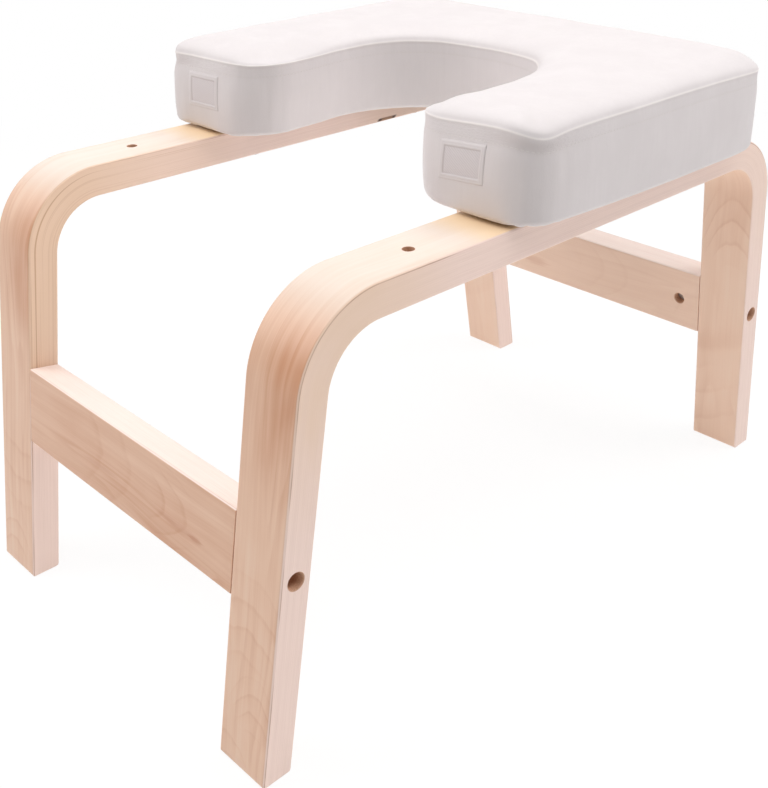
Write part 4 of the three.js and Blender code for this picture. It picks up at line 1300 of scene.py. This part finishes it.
def thread_material():
    """Sewing thread: a slight change of tone and relief along its twist."""
    thread = bpy.context.scene.stool_colours.thread
    material, web = new_material("sewing_thread")
    twist = web.noise(web.place(), 3.5, 2.0)
    web.surface(base_color=web.mix(twist, thread, scaled(thread, 0.86)), roughness=0.6, sheen_weight=0.2,
                normal=web.bump(0.5, 0.0001, twist))
    return material


def along_loop(path, ways, pitch):
    """Places at equal distances along a closed path, with its direction and the given normals there."""
    ahead = np.roll(path, -1, axis=0) - path
    long = np.linalg.norm(ahead, axis=1)
    at = np.concatenate([[0], np.cumsum(long)])
    count = int(round(at[-1] / pitch))
    want = np.arange(count) * at[-1] / count

    def read(values):
        closed = np.concatenate([values, values[:1]])
        return np.stack([np.interp(want, at, closed[:, k]) for k in range(3)], -1)

    tangent = np.roll(path, -1, axis=0) - np.roll(path, 1, axis=0)
    tangent = read(tangent / np.linalg.norm(tangent, axis=1, keepdims=True))
    normal = read(ways)
    tangent /= np.linalg.norm(tangent, axis=1, keepdims=True)
    normal -= (normal * tangent).sum(1, keepdims=True) * tangent
    normal /= np.linalg.norm(normal, axis=1, keepdims=True)
    return read(path), tangent, normal


def small_bars(places, tangents, normals, profile, sides=6, flat=1.0):
    """Many small bars: a profile of distances, lifts and radii swept along each tangent. flat squashes
    them along the normal."""
    t, lift, radius = np.array(profile, float).T
    a = np.linspace(0, 2 * np.pi, sides, endpoint=False) + np.pi / sides
    across = np.cross(tangents, normals)
    axis = places[:, None] + t[None, :, None] * tangents[:, None] + lift[None, :, None] * normals[:, None]
    circle = (np.cos(a)[None, None, :, None] * across[:, None, None, :]
              + flat * np.sin(a)[None, None, :, None] * normals[:, None, None, :])
    points = axis[:, :, None, :] + radius[None, :, None, None] * circle
    one = band_quads(len(t), sides)
    size = len(t) * sides
    base = (np.arange(len(places)) * size)[:, None, None]
    quads = (one[None] + base).reshape(-1, 4)
    return points.reshape(-1, 3), quads, [(end_caps(sides, len(t))[None] + base).reshape(-1, sides)]


# Small bars: distance along, lift and radius at each step, for a stitch and for a staple
STITCH = [(-1.2, -0.28, 0.08), (-1.0, -0.06, 0.18), (-0.4, 0.02, 0.22), (0.4, 0.02, 0.22), (1.0, -0.06, 0.18),
          (1.2, -0.28, 0.08)]
STAPLE = [(-4.9, -1.2, 0.33), (-4.9, -0.35, 0.33), (-4.6, 0.0, 0.33), (4.6, 0.0, 0.33), (4.9, -0.35, 0.33),
          (4.9, -1.2, 0.33)]


class STOOL_OT_cushion(bpy.types.Operator):
    """Makes the horseshoe cushion, swollen as cloth under pressure, with its seam and stitches"""
    bl_idname = "stool.cushion"
    bl_label = "Cushion"
    bl_options = {"REGISTER", "UNDO"}

    def execute(self, context):
        sizes = context.scene.stool_cushion
        points, faces, apart, count, fold, crinkle = cushion_surface()
        cover = make_object("horseshoe_cushion", points, faces, cover_material())
        # fold holds painted shade and, below zero, a painted highlight
        store(cover.data, "fold", np.clip(fold, -1, 1))
        store(cover.data, "crinkle", crinkle)
        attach(cover, "root")
        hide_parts("cushion_cover", "cushion_foam")

        row = int(np.argmin(np.abs(apart + sizes.stitch_drop / MM)))
        normals = vertex_normals(points, faces)
        loop = slice(row * count, (row + 1) * count)
        places, tangents, ways = along_loop(points[loop], normals[loop], sizes.stitch_pitch / MM)
        bars, quads, caps = small_bars(places, tangents, ways, STITCH)
        thread = make_object("cushion_stitches", bars, quads, thread_material(), more=caps)
        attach(thread, "root")
        return {"FINISHED"}


def cloth_material():
    """Thin non-woven cloth: short matted fibres and a grid of small bonded spots."""
    base = bpy.context.scene.stool_colours.cloth
    material, web = new_material("under_cloth_black")
    place = web.place()
    fibre = web.noise(place, 1.6, 4.0, 0.7, 1.5)
    spots = web.get("ShaderNodeTexVoronoi", {"Vector": place, "Scale": 0.8, "Randomness": 0.15})
    spot = web.range(spots, 0.22, 0.4)
    web.surface(base_color=web.mix(fibre, base, scaled(base, 2.6)),
                roughness=web.range(spot, 0.0, 1.0, 0.6, 0.92),
                normal=web.bump(0.5, 0.0002, fibre * 0.6 + spot))
    return material


def steel_material(name, brightness=1.0):
    """Zinc-plated steel: fine turned scratches and faint clouding."""
    base = scaled(bpy.context.scene.stool_colours.steel, brightness)
    material, web = new_material(name)
    place = web.place()
    cloud = web.noise(place, 0.35, 3.0)
    scratch = web.noise(web.vector("MULTIPLY", place, (0.5, 0.5, 6.0)), 1.5, 3.0)
    web.surface(base_color=web.mix(cloud, base, scaled(base, 0.82)), metallic=1.0,
                roughness=web.range(scratch, 0.3, 0.7, 0.3, 0.46), normal=web.bump(0.15, 0.0001, scratch))
    return material


class STOOL_OT_under_cloth(bpy.types.Operator):
    """Makes the cloth below the cushion and the staples that hold it and the hem"""
    bl_idname = "stool.under_cloth"
    bl_label = "Under cloth"
    bl_options = {"REGISTER", "UNDO"}

    def execute(self, context):
        sizes = context.scene.stool_cushion
        plan = cushion_plan()
        out, neck = plan["hem_out"] + 0.45, plan["hem_neck"] + 0.45
        low = plan["bottom"]
        # A folded edge, then a patch of rungs that is a little uneven
        profile = [(0.2, low + 0.86), (0, low + 0.6), (0, low + 0.32), (0.25, low + 0.08), (1.2, low + 0.02),
                   (6, low + 0.03), (6.6, low + 0.3)]
        insets = np.array([p[0] for p in profile])
        ring = horseshoe(plan, out + insets, neck + insets, 1)
        count = ring.shape[1]
        z = np.array([p[1] for p in profile])[:, None, None]
        grid = np.concatenate([ring, np.broadcast_to(z, ring.shape[:2] + (1,))], -1)
        size = len(profile) * count
        new, quads, (right, _) = spanned(grid[-1], size - count, size, 1, True)
        new[:, 2] += 0.18 * soft_noise(new, 40.0, 31)
        points = np.concatenate([grid.reshape(-1, 3), new])
        faces = np.concatenate([band_quads(len(profile), count)] + quads)
        cloth = make_object("cloth_below", points, faces, cloth_material())
        if vertex_normals(points, faces)[right[20, 10], 2] > 0:
            cloth.data.flip_normals()
        thick = cloth.modifiers.new("thickness", "SOLIDIFY")
        thick.thickness, thick.offset = 0.00035, -1
        a, b, c, d = (points[faces[:, k]] for k in range(4))
        area = np.linalg.norm(np.cross(c - a, d - b), axis=1).sum() / 2 * MM * MM
        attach(cloth, "root")
        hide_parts("under_cloth")

        # Staples: a crown and two legs each, along the hem and along the cloth's edge
        bars, quads, caps = [], [], []
        base = 0
        rng = np.random.default_rng(17)
        for inset, pitch, height in ((-6.5, sizes.staple_pitch / MM, low - 0.02), (3.4, 33.0, low + 0.02)):
            path = horseshoe(plan, out + inset, neck + inset, 1)[0]
            path = np.concatenate([path, np.full((len(path), 1), height)], -1)
            ways = np.tile([0.0, 0.0, -1.0], (len(path), 1))
            places, tangents, normals = along_loop(path, ways, pitch)
            turn = rng.uniform(-0.25, 0.25, (len(places), 1))
            tangents = tangents * np.cos(turn) + np.cross(normals, tangents) * np.sin(turn)
            p, q, c = small_bars(places, tangents, normals, STAPLE, sides=4, flat=0.6)
            bars.append(p)
            quads.append(q + base)
            caps.append(c[0] + base)
            base += len(p)
        staples = make_object("staples", np.concatenate(bars), np.concatenate(quads),
                              steel_material("staple_wire", 0.9), more=[np.concatenate(caps)],
                              smooth_angle=40)
        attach(staples, "root")
        return {"FINISHED"}


def patch_material():
    """The sewn-on patches: the cover's leather with a fine slanting rib inside the frame, and painted shade
    along the frame's edges.
    """
    base = bpy.context.scene.stool_colours.cover
    material, web = new_material("patch_leather")
    place = web.place()
    grain = web.group("Leather grain", vector=place, cell=0.9)
    inner = web.attribute("inner")
    x, _, z = web.split(place)
    sway = web.noise(place, 0.25, 2.0) * 5.0
    rib = web.math("SINE", (x * 1.05 + z * 1.6) * 2.1 + sway) * 0.5 * inner
    tone = web.mix(inner * 0.45, scaled(base, 0.98), (0.70, 0.655, 0.67))
    tone = web.mix(web.fall(rib, -0.5, 0.4) * (inner * 0.22), tone, (0.52, 0.46, 0.48))
    # Painted shade along the frame's edges, from the fold attribute
    tone = web.mix(web.attribute("fold") * 0.8, tone, (0.42, 0.345, 0.35))
    web.surface(base_color=tone, roughness=web.range(grain["Mottle"], 0.3, 0.7, 0.42, 0.54),
                specular_ior_level=0.42, normal=web.bump(0.45, 0.0002, grain["Height"] * 0.35 + rib))
    return material


# How far the sewn patches' edges lie from their nodes': left, right, bottom and top, and the rise to the
# right
PATCH_EDGES = {"right": (2.0, 4.5, 2.0, 0.9, 3.2), "left": (5.0, 7.0, -0.3, -0.3, 1.0)}


class STOOL_OT_patches(bpy.types.Operator):
    """Makes the two bare framed patches on the fronts of the cushion's arms"""
    bl_idname = "stool.patches"
    bl_label = "Patches"
    bl_options = {"REGISTER", "UNDO"}

    def execute(self, context):
        leather = patch_material()
        cover = vertex_array(bpy.data.objects["horseshoe_cushion"].data)
        for name, (left, right, bottom, top, rise) in PATCH_EDGES.items():
            low, high = node_box("patch_" + name)
            low, high = low + (left, 0, bottom), high + (right, 0, top)
            face = self.front_of(cover, low, high)
            points, quads, inner, fold = self.framed(face, low, high, rise, columns=76, rows=56)
            obj = make_object(name + "_arm_patch", points, quads, leather)
            store(obj.data, "inner", inner)
            # fold holds painted shade along the frame's edges
            store(obj.data, "fold", fold)
            face_outwards(obj.data)
            shade(obj.data, 50)
            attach(obj, "root")
            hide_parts("patch_" + name)
        return {"FINISHED"}

    @staticmethod
    def front_of(cover, low, high):
        """The front of an arm under a patch, as a height field: a least-squares surface of the third
        power through the cover's points there."""
        pad = 3.0
        near = cover[(cover[:, 1] < low[1] + 6) & (cover[:, 0] > low[0] - pad) & (cover[:, 0] < high[0] + pad)
                     & (cover[:, 2] > low[2] - pad) & (cover[:, 2] < high[2] + pad)]
        middle, size = (low + high) / 2, (high - low) / 2

        def terms(x, z):
            a, b = (x - middle[0]) / size[0], (z - middle[2]) / size[2]
            return np.stack([a ** i * b ** j for i in range(4) for j in range(4 - i)], -1)

        there = terms(near[:, 0], near[:, 2])
        shares = np.linalg.lstsq(there, near[:, 1], rcond=None)[0]
        proud = max((there @ shares - near[:, 1]).max() - 0.12, 0.0)
        return lambda x, z: terms(x, z) @ shares - proud

    @staticmethod
    def framed(face, low, high, rise, columns, rows):
        """A raised frame round a lower field: the height steps with the distance from the edge, and fold
        holds painted shade along the frame's edges.
        """
        u, v = np.meshgrid(np.linspace(0, 1, columns + 1), np.linspace(0, 1, rows + 1))
        width, height = high[0] - low[0], high[2] - low[2]
        edge = np.minimum(np.minimum(u, 1 - u) * width, np.minimum(v, 1 - v) * height)
        x, z = low[0] + u * width, low[2] + v * height + rise * u
        body = 0.2 + 0.45 * step(edge, 0.0, 0.9) - 0.4 * step(edge, 3.2, 4.2) - 0.08 * hill(edge, 2.1, 0.25)
        body = body + 0.12 * hill(edge, 3.0, 0.5)
        body = body + 0.12 * step(edge, 5, 10) * np.sin(np.pi * u) * np.sin(np.pi * v)
        front = np.stack([x, face(x, z) - body, z], -1).reshape(-1, 3)
        back = np.stack([x, face(x, z) + 0.35, z], -1).reshape(-1, 3)
        n = columns + 1
        grid = band_quads(rows + 1, n, closed=False)
        size = n * (rows + 1)
        rim = np.concatenate([np.arange(n - 1), np.arange(rows) * n + n - 1,
                              rows * n + np.arange(n - 1, 0, -1), np.arange(rows, 0, -1) * n])
        wall = np.stack([rim, np.roll(rim, -1), np.roll(rim, -1) + size, rim + size], -1)
        points = np.concatenate([front, back])
        quads = np.concatenate([grid, grid[:, ::-1] + size, wall])
        inner = np.concatenate([step(edge, 4.0, 4.6).ravel(), np.zeros(size)])
        # Painted shade: dark lines along the frame's edges; lit weights the inner line, heaviest on the left
        # and top
        lit = np.clip(0.45 + 0.55 * np.maximum(1 - 4 * u, 3 * v - 2), 0.4, 1)
        fold = 0.75 * hill(edge, 4.2, 0.35) * lit + 0.2 * hill(edge, 2.1, 0.25) + 0.3 * hill(edge, 0.0, 0.3)
        fold = np.concatenate([fold.ravel(), np.zeros(size)])
        return points, quads, inner, np.clip(fold, 0, 1)


# Hardware

def refined_copy(node, name, material, bevel):
    """A merged copy of a CAD node with smooth shading and eased edges."""
    mesh = bpy.data.objects[node].data.copy()
    mesh.name = name
    obj = bpy.data.objects.new(name, mesh)
    bpy.context.scene.collection.objects.link(obj)
    mesh.materials.clear()
    mesh.materials.append(material)
    face_outwards(mesh)
    bm = bmesh.new()
    bm.from_mesh(mesh)
    bmesh.ops.dissolve_limit(bm, angle_limit=math.radians(1), verts=bm.verts, edges=bm.edges)
    bm.to_mesh(mesh)
    bm.free()
    shade(mesh, SHARP_ANGLE)
    ease = obj.modifiers.new("eased edges", "BEVEL")
    ease.width, ease.segments, ease.limit_method, ease.angle_limit = bevel * MM, 2, "ANGLE", math.radians(35)
    ease.harden_normals = True
    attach(obj, "root")
    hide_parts(node)


def plain_wood(name, light, dark, grain):
    """Raw wood of the hidden pieces: straight fibres along one axis."""
    material, web = new_material(name)
    streaks = web.noise(web.vector("MULTIPLY", web.place(), grain), 1.0, 3.0, 0.6)
    web.surface(base_color=web.mix(web.range(streaks, 0.3, 0.7), light, dark),
                roughness=web.range(streaks, 0.3, 0.7, 0.6, 0.75), normal=web.bump(0.25, 0.0003, streaks))
    return material


# Node, piece, whether its steel is blackened, and the easing of its edges in millimetres
HARDWARE = (("frame_bolt", "bolt_through_leg", False, 0.5), ("barrel_nut", "nut_in_rail", False, 0.35),
            ("seat_bolt", "bolt_under_seat", True, 0.6), ("washer", "washer_under_seat", False, 0.3),
            ("tee_nut", "nut_in_board", False, 0.3))


class STOOL_OT_hardware(bpy.types.Operator):
    """Gives the bolts, nuts, washers, dowels and the board their finishes"""
    bl_idname = "stool.hardware"
    bl_label = "Hardware and hidden wood"
    bl_options = {"REGISTER", "UNDO"}

    def execute(self, context):
        steels = (steel_material("zinc_steel"), steel_material("blackened_steel", 0.45))
        for end in ("front_left", "front_right", "rear_left", "rear_right"):
            for node, name, black, bevel in HARDWARE:
                refined_copy(f"{node}_{end}", f"{name}_{end}", steels[black], bevel)
        dowel = plain_wood("raw_beech", (0.66, 0.47, 0.31), (0.52, 0.34, 0.2), (0.05, 1.4, 1.4))
        board = plain_wood("board_plywood", (0.62, 0.47, 0.3), (0.47, 0.33, 0.19), (0.02, 0.5, 1.2))
        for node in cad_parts:
            wood = dowel if node.startswith("dowel_") else board if node == "cushion_board" else None
            if wood:
                piece = bpy.data.objects[node]
                if not piece.material_slots:
                    piece.data.materials.append(wood)
                for slot in piece.material_slots:
                    slot.material = wood
        return {"FINISHED"}


# Studio

# The camera that was fitted to the photograph: place in metres, turns in degrees, and lens
CAMERA_PLACE = (0.61598, -0.60762, 0.59840)
CAMERA_YAW, CAMERA_PITCH, CAMERA_ROLL = -45.151, -29.683, -0.077
CAMERA_LENS, CAMERA_SHIFT = 48.548, (-0.0325, 0.0067)
LIT_POINT = (0, 0, 0.25)
FLOOR_REACH = 15e3


def lamp(name, place, side, power, tint):
    """A square lamp aimed at the middle of the stool."""
    data = bpy.data.lights.new(name, "AREA")
    data.shape, data.size, data.size_y = "RECTANGLE", side, side
    data.energy, data.color = power, tint
    obj = bpy.data.objects.new(name, data)
    bpy.context.scene.collection.objects.link(obj)
    way = Vector(LIT_POINT) - Vector(place)
    obj.matrix_world = Matrix.Translation(place) @ way.to_track_quat("-Z", "Y").to_matrix().to_4x4()


def floor_material(glow):
    """White paper that burns out as in the photograph, and gives a little light back."""
    material, web = new_material("white_floor")
    near = web.get("ShaderNodeTexCoord", output="Object")
    paper = web.mix(web.noise(web.vector("SCALE", near, 12.0), 1.0, 3.0), (0.80,) * 3, (0.82,) * 3)
    matt = web.get("ShaderNodeBsdfDiffuse", {"Color": paper})
    white = web.get("ShaderNodeEmission", {"Color": (1, 1, 1), "Strength": 1.0})
    bounce = web.get("ShaderNodeEmission", {"Color": (1, 0.985, 0.975), "Strength": glow})
    lit = web.get("ShaderNodeAddShader", {0: matt, 1: bounce})
    share = web.looked_at() * web.range(web.vector("LENGTH", near), 0.5, 1.6, 0.82, 1.0)
    both = web.get("ShaderNodeMixShader", {0: share, 1: lit, 2: white})
    web.add("ShaderNodeOutputMaterial", {"Surface": both})
    return material


class STOOL_OT_stage(bpy.types.Operator):
    """Makes the floor, the even light, the lamps and the camera"""
    bl_idname = "stool.stage"
    bl_label = "Stage"
    bl_options = {"REGISTER", "UNDO"}

    def execute(self, context):
        studio = context.scene.stool_studio
        world = bpy.data.worlds.new("studio_light")
        context.scene.world = world
        world.use_nodes = True
        web = Web(world.node_tree)
        even = web.get("ShaderNodeBackground", {"Color": (1, 0.99, 0.985), "Strength": studio.fill})
        white = web.get("ShaderNodeBackground", {"Color": (1, 1, 1), "Strength": 1.0})
        both = web.get("ShaderNodeMixShader", {0: web.looked_at(), 1: even, 2: white})
        web.add("ShaderNodeOutputWorld", {"Surface": both})

        square = np.array([[-1, -1, 0], [1, -1, 0], [1, 1, 0], [-1, 1, 0]]) * FLOOR_REACH
        floor = make_object("floor", square, np.array([[0, 1, 2, 3]]))
        floor.data.materials.append(floor_material(studio.floor_glow))

        tint = (1, 0.93, 0.925)
        lamp("left_lamp", (-1.9, -1.9, 2.2), 2.0, studio.left, tint)
        lamp("right_lamp", (1.9, 1.9, 2.2), 2.0, studio.right, tint)
        lamp("top_lamp", (0, 0, 2.6), 3.6, studio.top, (1, 0.99, 0.98))
        self.camera(context.scene)
        context.scene.view_settings.view_transform = "Standard"
        return {"FINISHED"}

    @staticmethod
    def camera(scene):
        """The photograph's camera, from its yaw, pitch and roll."""
        data = bpy.data.cameras.new("camera")
        data.sensor_width, data.lens = 36.0, CAMERA_LENS
        data.shift_x, data.shift_y = CAMERA_SHIFT
        camera = bpy.data.objects.new("camera", data)
        scene.collection.objects.link(camera)
        yaw, pitch, roll = (math.radians(a) for a in (CAMERA_YAW, CAMERA_PITCH, CAMERA_ROLL))
        ahead = Vector((math.sin(yaw) * math.cos(pitch), math.cos(yaw) * math.cos(pitch), math.sin(pitch)))
        right = Vector((math.cos(yaw), -math.sin(yaw), 0.0))
        up = right.cross(ahead)
        right, up = (right * math.cos(roll) + up * math.sin(roll),
                     up * math.cos(roll) - right * math.sin(roll))
        turn = Matrix((right, up, -ahead)).transposed().to_4x4()
        camera.matrix_world = Matrix.Translation(CAMERA_PLACE) @ turn
        scene.camera = camera


class STOOL_PT_pieces(bpy.types.Panel):
    """Lists the sizes, colours and pieces of the stool"""
    bl_label = "Headstand Stool"
    bl_idname = "STOOL_PT_pieces"
    bl_space_type = "VIEW_3D"
    bl_region_type = "UI"
    bl_category = "Stool"

    def draw(self, context):
        for name in GROUPS:
            group = getattr(context.scene, name)
            box = self.layout.box()
            box.label(text=name.removeprefix("stool_").capitalize())
            for key in group.__annotations__:
                box.prop(group, key)
        for piece in PIECES:
            self.layout.operator(piece.bl_idname)


GROUPS = {"stool_frame": StoolFrameSizes, "stool_cushion": StoolCushionSizes,
          "stool_colours": StoolColours, "stool_studio": StoolStudio}
PIECES = (STOOL_OT_stage, STOOL_OT_side_frames, STOOL_OT_cross_rails, STOOL_OT_cushion,
          STOOL_OT_under_cloth, STOOL_OT_patches, STOOL_OT_hardware)


def register():
    for group in GROUPS.values():
        bpy.utils.register_class(group)
    for piece in PIECES:
        bpy.utils.register_class(piece)
    bpy.utils.register_class(STOOL_PT_pieces)
    for name, group in GROUPS.items():
        setattr(bpy.types.Scene, name, bpy.props.PointerProperty(type=group))


def unregister():
    for name in GROUPS:
        delattr(bpy.types.Scene, name)
    bpy.utils.unregister_class(STOOL_PT_pieces)
    for piece in reversed(PIECES):
        bpy.utils.unregister_class(piece)
    for group in reversed(list(GROUPS.values())):
        bpy.utils.unregister_class(group)


def main():
    register()
    build_groups()
    bpy.ops.stool.stage()
    bpy.ops.stool.side_frames()
    bpy.ops.stool.cross_rails()
    bpy.ops.stool.cushion()
    bpy.ops.stool.under_cloth()
    bpy.ops.stool.patches()
    bpy.ops.stool.hardware()


if __name__ == "__main__":
    main()
